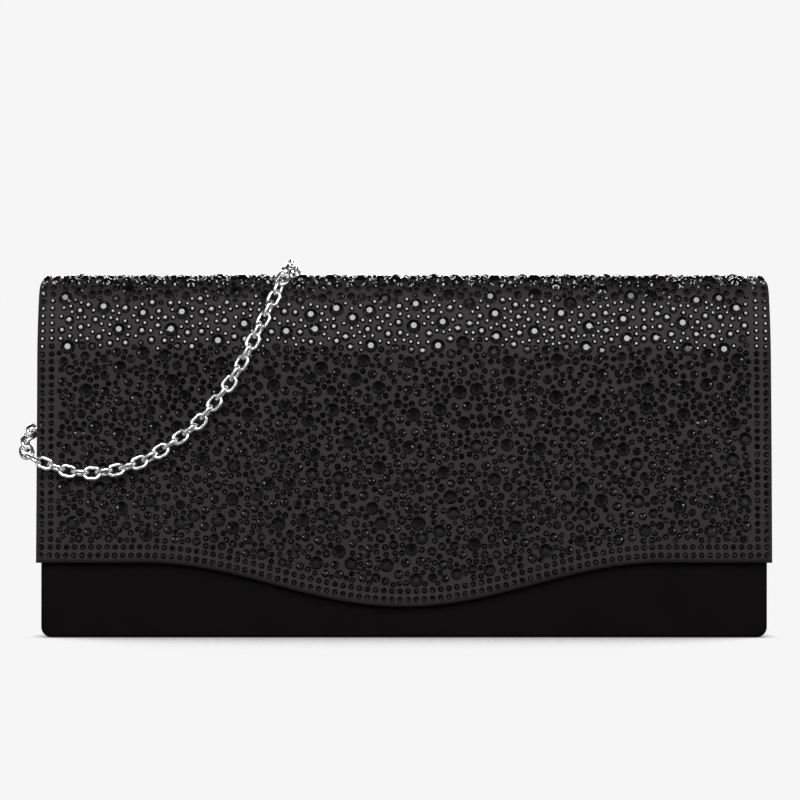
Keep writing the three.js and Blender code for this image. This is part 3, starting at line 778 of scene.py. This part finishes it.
class BAG_OT_chain(bpy.types.Operator):
    """Chain from the left clasp over the flap to the hank behind, and back to the right clasp"""

    bl_idname = "evening_bag.chain"
    bl_label = "Chain"

    def execute(self, context):
        front = spline(FRONT_ROUTE)
        hank = hank_line()
        line = np.vstack([front, hank])
        chain, _, length = chain_links("chain", line, (-0.6, -0.6, 0.5))
        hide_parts("chain_lead", "chain_drape", "chain_tail", "chain_hank")
        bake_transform(chain)
        back = np.vstack([hank[-1:], spline(RETURN_ROUTE)])
        rest, _, rest_length = chain_links("chain_back_run", back, (0.0, 0.2, 1.0))
        dress(rest, ["chain_return"])
        self.tie()
        return {"FINISHED"}

    def tie(self):
        """A ribbon round the hank, with soft corners."""
        x_low, x_high = TIE_LOW[0], TIE_HIGH[0]
        radius = 2.2
        corners = [
            (TIE_HIGH[1] - radius, TIE_HIGH[2] - radius, 0),
            (TIE_LOW[1] + radius, TIE_HIGH[2] - radius, 90),
            (TIE_LOW[1] + radius, TIE_LOW[2] + radius, 180),
            (TIE_HIGH[1] - radius, TIE_LOW[2] + radius, 270),
        ]
        loop = []
        for y, z, start in corners:
            for n in range(7):
                angle = math.radians(start + 15 * n)
                loop.append((y + radius * math.cos(angle), z + radius * math.sin(angle)))
        columns = np.linspace(x_low, x_high, 7)
        verts = []
        for y, z in loop + loop[:1]:
            for x in columns:
                crown = 0.12 * (1 - ((x - columns[3]) / (columns[3] - x_low)) ** 2)
                away = np.array([y - MIDDLE_TIE[0], z - MIDDLE_TIE[1]])
                away = away / np.linalg.norm(away)
                verts.append((x, y - away[0] * (0.12 - crown), max(z - away[1] * (0.12 - crown), 0.02)))
        piece = cloth("chain_tie_ribbon", verts, grid_faces(len(loop) + 1, 7), 0.22, finish("ribbon"))
        dress(piece, ["chain_tie"])


MIDDLE_TIE = ((TIE_LOW[1] + TIE_HIGH[1]) / 2, (TIE_LOW[2] + TIE_HIGH[2]) / 2)


class BAG_OT_cover(bpy.types.Operator):
    """Satin over the flap, the top and the back, turned round the boards' edges"""

    bl_idname = "evening_bag.cover"
    bl_label = "Satin cover"

    def execute(self, context):
        near = [0.0, 0.002, 0.005, 0.01]
        columns = eased(97, [2 * e for e in near], -1, 1)
        span = PROFILE.s_foot - 20
        bends = [PROFILE.s_slope, PROFILE.s_front, PROFILE.s_flat, PROFILE.s_back, PROFILE.s_hinge]
        rows = set(np.round(np.linspace(0, 1, 70), 5))
        rows |= set(np.round((np.linspace(bends[0], bends[-1] + 12, 64) - 20) / span, 5))
        rows |= {0.0008, 0.002, 0.004, 0.008, 0.98, 0.985, 0.9885, 0.992, 0.9945, 0.9965, 0.998, 0.9992}
        verts, faces = turned_panel(place_cover, np.array(sorted(rows)), columns, COVER_EDGE, 11.0)
        heights = np.array([verts[face[0]][2] for face in faces])
        deep = np.array([verts[face[0]][1] for face in faces])
        others = ((deep < BACK_Y - 4.5) | (heights > PROFILE.hinge_z + 5)).astype(int)
        piece = cloth(
            "satin_cover", verts, faces, 0.4, finish("satin"), 0.12, finish("ground"), others
        )
        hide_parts("flap_satin", "flap_edging", "back_satin")
        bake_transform(piece)
        return {"FINISHED"}


def stone_shape(sides, waist):
    """A flat-backed cut stone of radius 1 and height 1: a round table, facets and a girdle."""
    def ring(count, radius, height, turn):
        angles = [2 * math.pi * (n + turn) / count for n in range(count)]
        return [(radius * math.cos(a), radius * math.sin(a), height) for a in angles]

    verts = ring(sides, 0.42, 1.0, 0.5)
    faces = [tuple(range(sides))]
    if waist:
        verts += ring(sides, 0.76, 0.68, 0.0)
        for n in range(sides):
            m = (n + 1) % sides
            faces.append((n, sides + m, m))
        girdle = len(verts)
        verts += ring(2 * sides, 1.0, 0.2, 0.0)
        for n in range(sides):
            m = (n + 1) % sides
            low = girdle + 2 * n
            side = girdle + 2 * n + 1
            far = girdle + (2 * n + 2) % (2 * sides)
            faces.append((n, sides + n, side, sides + m))
            faces.append((sides + n, low, side))
            faces.append((sides + m, side, far))
        last, count = girdle, 2 * sides
    else:
        last = len(verts)
        verts += ring(sides, 1.0, 0.22, 0.5)
        for n in range(sides):
            m = (n + 1) % sides
            faces.append((n, last + n, last + m, m))
        count = sides
    foot = len(verts)
    verts += [(0.97 * x, 0.97 * y, -0.1) for x, y, _ in verts[last:last + count]]
    for n in range(count):
        m = (n + 1) % count
        faces.append((last + n, foot + n, foot + m, last + m))
    faces.append(tuple(reversed(range(foot, foot + count))))
    return np.array(verts), faces


class Scatter:
    """Places already taken by stones, kept by square cells."""

    def __init__(self, gap):
        self.cell = 5.6
        self.gap = gap
        self.cells = {}
        self.stones = []

    def key(self, x, s):
        return int(x // self.cell), int(s // self.cell)

    def free(self, x, s, radius, room):
        kx, ks = self.key(x, s)
        for i in (kx - 1, kx, kx + 1):
            for j in (ks - 1, ks, ks + 1):
                for ox, os, other in self.cells.get((i, j), ()):
                    least = radius + other + (room if other >= radius - 0.05 else self.gap)
                    if (x - ox) ** 2 + (s - os) ** 2 < least * least:
                        return False
        return True

    def take(self, x, s, radius):
        self.cells.setdefault(self.key(x, s), []).append((x, s, radius))
        self.stones.append((x, s, radius))


def border_stones(scatter, radius):
    """Two even rows of small stones along the lower edge and both sides."""
    pitch = 2.75
    for inset, side_inset in ((2.7, 2.0), (5.5, 5.1)):
        half = FLAP_HALF - side_inset
        count = int(2 * half / pitch)
        for x in np.linspace(-half, half, count + 1):
            scatter.take(float(x), float(flap_edge(x) + inset), radius)
        low = FLAP_SIDE_EDGE + inset + pitch
        for side in (-1, 1):
            for s in np.arange(low, PROFILE.s_stones - radius, 0.95 * pitch):
                _, z = PROFILE.point(s, 0.0)
                x = side * (float(cover_half(s, z)) - side_inset)
                scatter.take(x, float(s), radius)


def within_flap(x, s, radius, room):
    """Whether a stone is clear of the border rows and the turn at the back."""
    if s > PROFILE.s_stones - radius or s < flap_edge(x) + room + radius:
        return False
    _, z = PROFILE.point(s, 0.0)
    return abs(x) < cover_half(s, z) - room - radius


# Places tried round each stone when the small ones are grown outwards from it
GROWTH_TRIES = 36
GOLDEN_ANGLE = 2.399


def place_stones(sizes):
    """Even borders, then large, medium and small stones at random, each clear of the others."""
    rng = np.random.default_rng(sizes.seed)
    small, medium, large = (v / MM / 2 for v in (sizes.small, sizes.medium, sizes.large))
    scatter = Scatter(sizes.gap / MM)
    border_stones(scatter, small * 0.96)
    top = PROFILE.s_stones
    edge_room = 5.5 + small + 0.25
    gap = sizes.gap / MM
    inside = edge_room - 0.1
    kinds = [
        (large * 1.08, 1500, 7.5),
        (large * 0.95, 1500, 5.5),
        (medium * 1.06, 6500, 1.1),
        (medium * 0.94, 6500, 0.45),
    ]
    for radius, tries, room in kinds:
        xs = rng.uniform(-FLAP_HALF, FLAP_HALF, tries)
        ss = rng.uniform(0, top, tries)
        for x, s, scale in zip(xs, ss, rng.normal(1.0, 0.025, tries)):
            if within_flap(x, s, radius, edge_room) and scatter.free(x, s, radius * scale, room):
                scatter.take(x, s, radius * scale)
    done = 0
    while done < len(scatter.stones):
        x0, s0, radius0 = scatter.stones[done]
        done += 1
        turns = rng.uniform(0, 2 * math.pi) + np.arange(GROWTH_TRIES) * GOLDEN_ANGLE
        scales = rng.normal(0.98, 0.06, GROWTH_TRIES)
        for turn, scale, extra in zip(turns, scales, rng.random(GROWTH_TRIES)):
            radius = small * scale
            reach = radius0 + radius + gap * (1.02 + 1.5 * extra * extra)
            x, s = x0 + reach * math.cos(turn), s0 + reach * math.sin(turn)
            if within_flap(x, s, radius, inside) and scatter.free(x, s, radius, gap):
                scatter.take(x, s, radius)
    return scatter.stones


class BAG_OT_stones(bpy.types.Operator):
    """Cut stones set close together over the flap's front and top"""

    bl_idname = "evening_bag.stones"
    bl_label = "Stones"

    def execute(self, context):
        stones = place_stones(context.scene.stone_sizes)
        rng = np.random.default_rng(3)
        plain, full = stone_shape(8, False), stone_shape(8, True)
        all_verts, all_faces, base = [], [], 0
        for x, s, radius in stones:
            shape, faces = full if radius > 1.25 else plain
            turn = float(PROFILE.angle(s))
            y, z = PROFILE.point(s, -0.02)
            normal = np.array([0.0, -math.cos(turn), math.sin(turn)])
            along = np.array([0.0, math.sin(turn), math.cos(turn)])
            lean = rng.normal(0, 0.022, 2)
            normal = normal + lean[0] * along + lean[1] * np.array([1.0, 0, 0])
            normal /= np.linalg.norm(normal)
            spin = rng.uniform(0, math.pi)
            across = np.cross(along, normal)
            across /= np.linalg.norm(across)
            along = np.cross(normal, across)
            first = across * math.cos(spin) + along * math.sin(spin)
            second = np.cross(normal, first)
            height = 0.42 * radius + 0.42
            local = shape * np.array([radius, radius, height])
            place = np.array([x, float(y), float(z)])
            all_verts.append(place + local @ np.array([first, second, normal]))
            all_faces += [tuple(i + base for i in f) for f in faces]
            base += len(shape)
        verts = np.vstack(all_verts)
        piece = new_object("set_stones", verts, all_faces, [finish("stones")], smooth=False)
        dress(piece, ["flap_stones"], "flap")
        return {"FINISHED"}


def flat_sheet(name, xs, zs, y, facing, thickness, finish_name, wave=0.08, shape=None):
    """An upright sheet over a grid of X and Z. facing is -1 to the front and 1 to the back."""
    columns = xs if facing < 0 else xs[::-1]
    verts = []
    for z in zs:
        for x in columns:
            verts.append((x, y + (shape(x, z) if shape else 0.0), z))
    return cloth(name, verts, grid_faces(len(zs), len(columns)), thickness, finish(finish_name), wave)


def stitches(name, line, pitch=2.6, length=1.75, radius=0.17, body="bag"):
    """A row of sewn stitches along a line of points."""
    places, _ = evenly(np.asarray(line, float), pitch)
    verts, faces = [], []
    sides, ends = 6, [(-1, 0.25), (-0.8, 0.75), (-0.3, 1.0), (0.3, 1.0), (0.8, 0.75), (1, 0.25)]
    for a, b in zip(places[:-1], places[1:]):
        along = (b - a) / np.linalg.norm(b - a)
        helper = np.array([0.0, 0.0, 1.0]) if abs(along[2]) < 0.9 else np.array([0.0, 1.0, 0.0])
        first = np.cross(along, helper)
        first /= np.linalg.norm(first)
        second = np.cross(along, first)
        middle = (a + b) / 2
        base = len(verts)
        for reach, width in ends:
            for n in range(sides):
                angle = 2 * math.pi * n / sides
                out = first * math.cos(angle) + second * math.sin(angle)
                verts.append(middle + along * reach * length / 2 + out * radius * width)
        for ring in range(len(ends) - 1):
            for n in range(sides):
                i, j = base + ring * sides + n, base + ring * sides + (n + 1) % sides
                faces.append((i, j, j + sides, i + sides))
        faces.append(tuple(base + n for n in reversed(range(sides))))
        faces.append(tuple(base + (len(ends) - 1) * sides + n for n in range(sides)))
    piece = new_object(name, verts, faces, [finish("thread")])
    return dress(piece, body=body)


class BAG_OT_front(bpy.types.Operator):
    """Front panel: satin turned round its board, the bound mouth and the lining"""

    bl_idname = "evening_bag.front"
    bl_label = "Front panel"

    def execute(self, context):
        deep = FRONT_LINING_LOW[1] - FRONT_LOW[1] - 0.1
        top = FRONT_HIGH[2]

        def place(u, v, inset, share):
            z = inset + v * (top - 2 * inset)
            corner = max(BODY_CORNER - inset, 0.4)
            left = np.clip(corner - (z - inset), 0, corner)
            half = FRONT_HIGH[0] - inset - corner + np.sqrt(np.maximum(corner**2 - left**2, 0))
            y = FRONT_LOW[1] + share * deep + 0 * u
            return np.stack([u * half, y, z], axis=-1)

        columns = eased(81, [0, 0.004, 0.01, 0.02], -1, 1)
        near_ends = {0.003, 0.008, 0.014, 0.02, 0.035, 0.045, 0.99}
        rows = sorted(set(np.round(np.linspace(0, 1, 40), 5)) | near_ends)
        verts, faces = turned_panel(place, np.array(rows), columns, 0.9, 9.0)
        panel = cloth("front_cover", verts, faces, 0.35, finish("satin"), wave=0.1)
        dress(panel, ["front_satin"])
        xs = np.linspace(FRONT_LINING_LOW[0], FRONT_LINING_HIGH[0], 60)
        zs = np.linspace(FRONT_LINING_LOW[2], FRONT_LINING_HIGH[2], 30)
        lining = flat_sheet("front_lining_cloth", xs, zs, FRONT_LINING_HIGH[1], 1, 0.5, "lining")
        dress(lining, ["front_lining"])
        self.binding()
        return {"FINISHED"}

    def binding(self):
        low, high = BINDING_LOW, BINDING_HIGH
        xs = np.linspace(low[0], high[0], 90)
        crown = [0.0, 0.12, 0.2, 0.22, 0.2, 0.12, 0.0]
        zs = np.linspace(low[2], high[2], len(crown))

        def shape(x, z):
            share = (z - low[2]) / (high[2] - low[2])
            return float(np.interp(share, np.linspace(0, 1, len(crown)), crown))

        band = flat_sheet("mouth_band", xs, zs, high[1], 1, 0.55, "satin", 0.04, shape)
        dress(band, ["mouth_binding"])
        y = high[1] + 0.16
        seam = [(x, y + 0.04 * drift_at(x, low[2] + 0.9), low[2] + 0.9) for x in xs[1:-1]]
        row = stitches("mouth_stitches", seam)


def drift_at(x, z):
    return float(drift(np.array([[x, 0.0, z]]))[0, 1])


class BAG_OT_inside(bpy.types.Operator):
    """Lining of the flap and the back in one length, the slip pocket and the base"""

    bl_idname = "evening_bag.inside"
    bl_label = "Inside"

    def execute(self, context):
        self.long_lining()
        self.pocket()
        self.base()
        return {"FINISHED"}

    def long_lining(self):
        """One length from the flap's lower edge over the hinge to the bottom of the back."""
        hinge = PROFILE.s_hinge
        back_depth = BACK_Y - BACK_LINING_LOW[1]
        flap_depth = PROFILE_LINING_DEPTH
        finish_s = PROFILE.s_foot - BACK_LINING_LOW[2]
        rows = np.unique(np.concatenate([
            np.linspace(0, 1, 60),
            (np.linspace(PROFILE.s_slope, hinge + 10, 60) - 15) / (finish_s - 15),
        ]))
        columns = np.linspace(1, -1, 83)
        uu, vv = np.meshgrid(columns, rows)
        inset = 2.4
        start = flap_edge(uu * FLAP_HALF) + inset
        s = start + (finish_s - start) * vv
        ease = below_hinge(s)
        depth = flap_depth * (1 - ease) + back_depth * ease
        spot = np.exp(-(((uu * FLAP_HALF) ** 2 + (s - MAGNET_Z) ** 2) / 55.0) ** 3)
        depth = depth + 0.22 * spot
        y, z = PROFILE.point(s, depth)
        _, z_outer = PROFILE.point(s, np.zeros_like(s))
        half = (flap_half(z_outer) - inset) * (1 - ease) + BACK_LINING_HIGH[0] * ease
        verts = np.stack([uu * half, y, z], axis=-1).reshape(-1, 3)
        piece = cloth("long_lining", verts, grid_faces(*uu.shape), 0.45, finish("lining"), wave=0.06)
        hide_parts("flap_lining", "back_lining")
        hinge = PROFILE.hinge_z * MM
        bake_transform(piece)

    def pocket(self):
        low, high = POCKET_LOW, POCKET_HIGH
        xs = np.linspace(low[0], high[0], 48)
        zs = np.linspace(low[2], high[2], 26)

        def sag(x, z):
            """The pocket's mouth stands a little away from the back in the middle."""
            across = 1 - (2 * x / (high[0] - low[0])) ** 2
            up = max(0.0, (z - low[2]) / (HEM_HIGH[2] - low[2]))
            return -0.9 * across * up**2

        panel = flat_sheet("slip_pocket", xs, zs, low[1], -1, 0.45, "lining", 0.06, sag)
        dress(panel, ["pocket_panel"])
        hem_z = np.linspace(HEM_LOW[2] - 0.1, HEM_HIGH[2], 7)

        def hem_shape(x, z):
            share = (z - hem_z[0]) / (hem_z[-1] - hem_z[0])
            return sag(x, z) - 0.25 * math.sin(math.pi * share)

        hem = flat_sheet("pocket_hem_band", xs, hem_z, low[1], -1, 0.5, "satin", 0.05, hem_shape)
        dress(hem, ["pocket_hem"])
        z = hem_z[0] + 0.9
        seam = [(x, low[1] + hem_shape(x, z) - 0.12, z) for x in xs[1:-1]]
        row = stitches("hem_stitches", seam)
        sides = []
        for x in (xs[0] + 1.2, xs[-1] - 1.2):
            line = [(x, low[1] + sag(x, zz) - 0.1, zz) for zz in np.linspace(low[2] + 1, high[2] - 1, 20)]
            sides.append(stitches(f"pocket_side_stitches_{'left' if x < 0 else 'right'}", line))

    def base(self):
        low, high = BASE_LOW, BASE_HIGH
        lines = np.linspace(low[0], high[0], 60)
        ys = np.linspace(high[1], low[1], 14)
        verts = []
        for y in ys:
            for x in lines:
                edge = min(y - low[1], high[1] - y)
                verts.append((x, y, low[2] + 0.35 * math.exp(-edge / 0.8)))
        piece = cloth("base_cover", verts, grid_faces(len(ys), len(lines)), 0.5, finish("satin"))
        dress(piece, ["base_satin"])
        low, high = BASE_LINING_LOW, BASE_LINING_HIGH
        lines = np.linspace(low[0], high[0], 60)
        ys = np.linspace(low[1], high[1], 14)
        verts = [(x, y, high[2]) for y in ys for x in lines]
        floor = cloth("base_lining_cloth", verts, grid_faces(len(ys), len(lines)), 0.5, finish("lining"))
        dress(floor, ["base_lining"])


PROFILE_LINING_DEPTH = 4.05
MAGNET_Z = 27.0


class BAG_OT_gussets(bpy.types.Operator):
    """Side gussets folded inwards, their linings and the ring tabs"""

    bl_idname = "evening_bag.gussets"
    bl_label = "Gussets"

    def execute(self, context):
        for side, sign in (("left", -1), ("right", 1)):
            self.gusset(side, sign)
            self.tab(side, sign)
        return {"FINISHED"}

    def fold_sheet(self, name, sign, side_x, low, high, thickness, outward, finish_name):
        turns = np.linspace(-1, 1, 33)
        heights = np.linspace(low[2], high[2], 46)
        half_deep = (high[1] - low[1]) / 2
        if (sign > 0) != outward:
            turns = turns[::-1]
        verts = []
        for z in heights:
            share = (z - GUSSET_LOW[2]) / (GUSSET_HIGH[2] - GUSSET_LOW[2])
            fold = GUSSET_FOLD_LOW + (GUSSET_FOLD_HIGH - GUSSET_FOLD_LOW) * share
            for t in turns:
                bend = math.sqrt(t * t + 0.012) - math.sqrt(0.012)
                bend /= math.sqrt(1.012) - math.sqrt(0.012)
                crease = 0.35 * math.sin(math.pi * abs(t)) * (0.6 + 0.4 * math.sin(z / 9.0 + 2 * t))
                x = side_x - fold * (1 - bend) + crease * (0.4 + 0.6 * share)
                verts.append((sign * x, MIDDLE_Y + t * half_deep, z))
        piece = cloth(name, verts, grid_faces(len(heights), len(turns)), thickness, finish(finish_name), 0.05)
        return piece

    def gusset(self, side, sign):
        low, high = GUSSET_LOW, GUSSET_HIGH
        outer = self.fold_sheet(f"gusset_cloth_{side}", sign, high[0] - 0.3, low, high, 0.45, True, "satin")
        dress(outer, [f"gusset_{side}"])
        inner_x = GUSSET_LINING_LOW[0] + GUSSET_FOLD_HIGH
        low, high = GUSSET_LINING_LOW, GUSSET_LINING_HIGH
        inner = self.fold_sheet(f"gusset_lining_cloth_{side}", sign, inner_x - 0.3, low, high, 0.4, False, "lining")
        dress(inner, [f"gusset_lining_{side}"])

    def tab(self, side, sign):
        """A ribbon round the ring's bar, doubled back over the gusset and sewn down inside."""
        centre_x, top = TAB_HIGH[0] - 2.1, TAB_HIGH[2]
        inner_x, foot = TAB_LOW[0], TAB_LOW[2]
        line = [(inner_x + 0.02, z) for z in np.linspace(foot, top - 1.2, 14)]
        line += [(inner_x + 0.3, top - 0.5), (inner_x + 0.9, top - 0.05)]
        line += [(x, top - 0.03) for x in np.linspace(inner_x + 1.6, centre_x, 12)]
        for degrees in range(75, -226, -15):
            angle = math.radians(degrees)
            line.append((centre_x + 2.07 * math.cos(angle), RING_BAR_HEIGHT + 2.07 * math.sin(angle)))
        line += [(x, top - 0.98) for x in np.linspace(centre_x - 2.3, inner_x + 1.5, 10)]
        line += [(inner_x + 1.1, top - 1.4)]
        line += [(inner_x + 0.98, z) for z in np.linspace(top - 2.2, foot + 0.3, 12)]
        widths = np.linspace(TAB_LOW[1], TAB_HIGH[1], 9)
        if sign < 0:
            widths = widths[::-1]
        verts = [(sign * x, y, z) for x, z in line for y in widths]
        piece = cloth(f"ring_tab_ribbon_{side}", verts, grid_faces(len(line), len(widths)), 0.38, finish("ribbon"))
        dress(piece, [f"ring_tab_{side}"])
        for z in (foot + 1.6, foot + 6.0):
            seam = [(sign * (inner_x - 0.08), y, z) for y in np.linspace(TAB_LOW[1] + 0.9, TAB_HIGH[1] - 0.9, 5)]
            stitches(f"tab_stitches_{side}_{int(z)}", seam, pitch=1.7, length=1.2, radius=0.15)


class BAG_OT_hardware(bpy.types.Operator):
    """Finishes for the boards, magnets, rings and clasps, the padding, and the joining rings"""

    bl_idname = "evening_bag.hardware"
    bl_label = "Boards and hardware"

    def execute(self, context):
        looks = {
            "board": ["flap_board", "front_board", "back_board", "base_board"],
            "magnet": ["flap_washer", "flap_magnet", "front_plate"],
            "silver": [f"{kind}_{side}" for kind in ("ring", "clasp", "clasp_gate") for side in ("left", "right")],
        }
        for name, nodes in looks.items():
            for node in nodes:
                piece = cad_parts[node]
                piece.data.materials.clear()
                piece.data.materials.append(finish(name))
        self.padding()
        for side, sign in (("left", -1), ("right", 1)):
            self.joining_ring(side, sign)
        return {"FINISHED"}

    def padding(self):
        rows = np.linspace(0, 1, 60)
        uu, vv = np.meshgrid(np.linspace(-1, 1, 60), rows)
        start = flap_edge(uu * FLAP_HALF) + 1.6
        s = start + (PROFILE.s_hinge - 0.4 - start) * vv
        y, z = PROFILE.point(s, 0.82 + 0 * s)
        _, z_outer = PROFILE.point(s, np.zeros_like(s))
        verts = np.stack([uu * (flap_half(z_outer) - 1.6), y, z], axis=-1).reshape(-1, 3)
        piece = cloth("flap_padding", verts, grid_faces(60, 60), 0.85, finish("foam"))
        dress(piece, ["flap_foam"], "flap")

    def joining_ring(self, side, sign):
        """A small round ring from the clasp's eye to the chain's last link."""
        x, y, z = sign * 118.6, MIDDLE_Y, 81.35
        big, wire = 1.95, 0.36
        verts, faces = [], []
        for i in range(28):
            a = 2 * math.pi * i / 28
            for j in range(8):
                b = 2 * math.pi * j / 8
                reach = big + wire * math.cos(b)
                verts.append((x + wire * math.sin(b), y + reach * math.cos(a), z + reach * math.sin(a)))
        for i in range(28):
            for j in range(8):
                k, m = (i + 1) % 28, (j + 1) % 8
                faces.append((i * 8 + j, i * 8 + m, k * 8 + m, k * 8 + j))
        piece = new_object(f"joining_ring_{side}", verts, faces, [finish("silver")])
        dress(piece, body=f"clasp_{side}")


class BAG_OT_stage(bpy.types.Operator):
    """Plain pale floor and backdrop, soft lights and the camera"""

    bl_idname = "evening_bag.stage"
    bl_label = "Stage"

    def execute(self, context):
        scene = context.scene
        scene.view_settings.view_transform = "Standard"
        world = bpy.data.worlds.new("studio")
        world.use_nodes = True
        tree = world.node_tree
        background = tree.nodes["Background"]
        background.inputs["Color"].default_value = (0.022, 0.022, 0.0225, 1)
        background.inputs["Strength"].default_value = 1.0
        scene.world = world
        self.floor()
        self.light("key panel", (0.0, -1.42, 0.8), (0, 0, 0.1), (1.1, 0.9), 34)
        self.light("left fill", (-1.4, -0.7, 0.45), (0, 0, 0.06), (0.3, 0.5), 3)
        self.light("right fill", (1.4, -0.7, 0.45), (0, 0, 0.06), (0.3, 0.5), 3)
        self.light("top edge light", (0.0, 1.3, 0.75), (0, 0, 0.12), (1.8, 0.5), 14)
        self.light("rear panel", (0.0, 1.7, 0.2), (0, 0, 0.08), (1.4, 0.7), 45)
        camera_data = bpy.data.cameras.new("camera")
        camera = bpy.data.objects.new("camera", camera_data)
        scene.collection.objects.link(camera)
        distance = 1.1
        frame_width = 0.2708
        camera.location = (-0.0014, STONES_LOW[1] * MM - distance, 0.0808)
        camera.rotation_euler = (math.pi / 2, 0, 0)
        camera_data.sensor_width = 36
        camera_data.lens = 36 * distance / frame_width
        camera_data.clip_end = 20
        scene.camera = camera
        return {"FINISHED"}

    def light(self, name, place, target, size, power):
        data = bpy.data.lights.new(name, "AREA")
        data.shape = "RECTANGLE"
        data.size, data.size_y = size
        data.energy = power
        lamp = bpy.data.objects.new(name, data)
        bpy.context.scene.collection.objects.link(lamp)
        lamp.location = place
        lamp.rotation_euler = (Vector(target) - Vector(place)).to_track_quat("-Z", "Y").to_euler()

    def floor(self):
        """A floor that curves up into a backdrop on every side. To the camera it glows evenly pale, darkened by a
        painted contact shadow worked out from occlusion round the bag.
        """
        rings, sides = [], 96
        for radius, height in [(0.0, 0), (0.4, 0), (1.2, 0), (2.4, 0)]:
            rings.append((radius, height))
        for n in range(1, 9):
            angle = n * math.pi / 16
            rings.append((2.4 + 0.8 * math.sin(angle), 0.8 * (1 - math.cos(angle))))
        rings.append((3.2, 4.0))
        verts = [(0, 0, 0)]
        for radius, height in rings[1:]:
            for n in range(sides):
                angle = 2 * math.pi * n / sides
                verts.append((radius * math.cos(angle) / MM, radius * math.sin(angle) / MM, height / MM))
        faces = [(0, 1 + n, 1 + (n + 1) % sides) for n in range(sides)]
        for ring in range(len(rings) - 2):
            for n in range(sides):
                a, b = 1 + ring * sides + n, 1 + ring * sides + (n + 1) % sides
                faces.append((a, a + sides, b + sides, b))
        material, tree, shader = start_material("pale floor", roughness=0.9)
        shader.inputs["Base Color"].default_value = (0.3, 0.3, 0.3, 1)
        shader.inputs["Specular IOR Level"].default_value = 0.0
        # Painted shadow: occlusion towards the front and close round the foot darkens the emission that camera rays
        # see; other rays see plain grey diffuse
        towards = add_node(tree, "ShaderNodeCombineXYZ", [("Y", 0.8), ("Z", 0.6)]).outputs[0]
        wide = add_node(
            tree, "ShaderNodeAmbientOcclusion", [("Distance", 0.1), ("Normal", towards)], samples=16
        )
        near = add_node(tree, "ShaderNodeAmbientOcclusion", [("Distance", 0.008)], samples=16)
        shade = mix_colours(
            tree,
            1.0,
            ramp(tree, wide.outputs["AO"], FLOOR_SHADE),
            ramp(tree, near.outputs["AO"], CONTACT_SHADE),
            "DARKEN",
        )
        glow = add_node(tree, "ShaderNodeEmission", [("Color", shade), ("Strength", 1.0)])
        seen = add_node(tree, "ShaderNodeLightPath").outputs["Is Camera Ray"]
        choices = [(0, seen), (1, shader.outputs[0]), (2, glow.outputs[0])]
        pick = add_node(tree, "ShaderNodeMixShader", choices)
        tree.links.new(pick.outputs[0], tree.nodes["Material Output"].inputs["Surface"])
        floor = new_object("floor", verts, faces, [material])


class BAG_PT_pieces(bpy.types.Panel):
    """The bag's sizes and colours, and a button for each group of pieces"""

    bl_idname = "BAG_PT_pieces"
    bl_label = "Evening Bag"
    bl_space_type = "VIEW_3D"
    bl_region_type = "UI"
    bl_category = "Evening Bag"

    def draw(self, context):
        column = self.layout.column(align=True)
        for settings, names in (
            (context.scene.bag_looks, ("ground", "body", "lining", "metal")),
            (context.scene.chain_sizes, ("length", "width", "wire", "pitch")),
            (context.scene.stone_sizes, ("small", "medium", "large", "gap", "seed")),
        ):
            for name in names:
                column.prop(settings, name)
            column.separator()
        for operator in OPERATORS:
            column.operator(operator.bl_idname)


OPERATORS = [
    BAG_OT_stage,
    BAG_OT_chain,
    BAG_OT_cover,
    BAG_OT_stones,
    BAG_OT_front,
    BAG_OT_inside,
    BAG_OT_gussets,
    BAG_OT_hardware,
]
CLASSES = [
    BagLooks,
    ChainSizes,
    StoneSizes,
    *OPERATORS,
    BAG_PT_pieces,
]


def register():
    for each in CLASSES:
        bpy.utils.register_class(each)
    bpy.types.Scene.bag_looks = bpy.props.PointerProperty(type=BagLooks)
    bpy.types.Scene.chain_sizes = bpy.props.PointerProperty(type=ChainSizes)
    bpy.types.Scene.stone_sizes = bpy.props.PointerProperty(type=StoneSizes)


def unregister():
    for name in ("bag_looks", "chain_sizes", "stone_sizes"):
        delattr(bpy.types.Scene, name)
    for each in reversed(CLASSES):
        bpy.utils.unregister_class(each)


def main():
    register()
    bpy.ops.evening_bag.stage()
    bpy.ops.evening_bag.chain()
    bpy.ops.evening_bag.cover()
    bpy.ops.evening_bag.stones()
    bpy.ops.evening_bag.front()
    bpy.ops.evening_bag.inside()
    bpy.ops.evening_bag.gussets()
    bpy.ops.evening_bag.hardware()


if __name__ == "__main__":
    main()
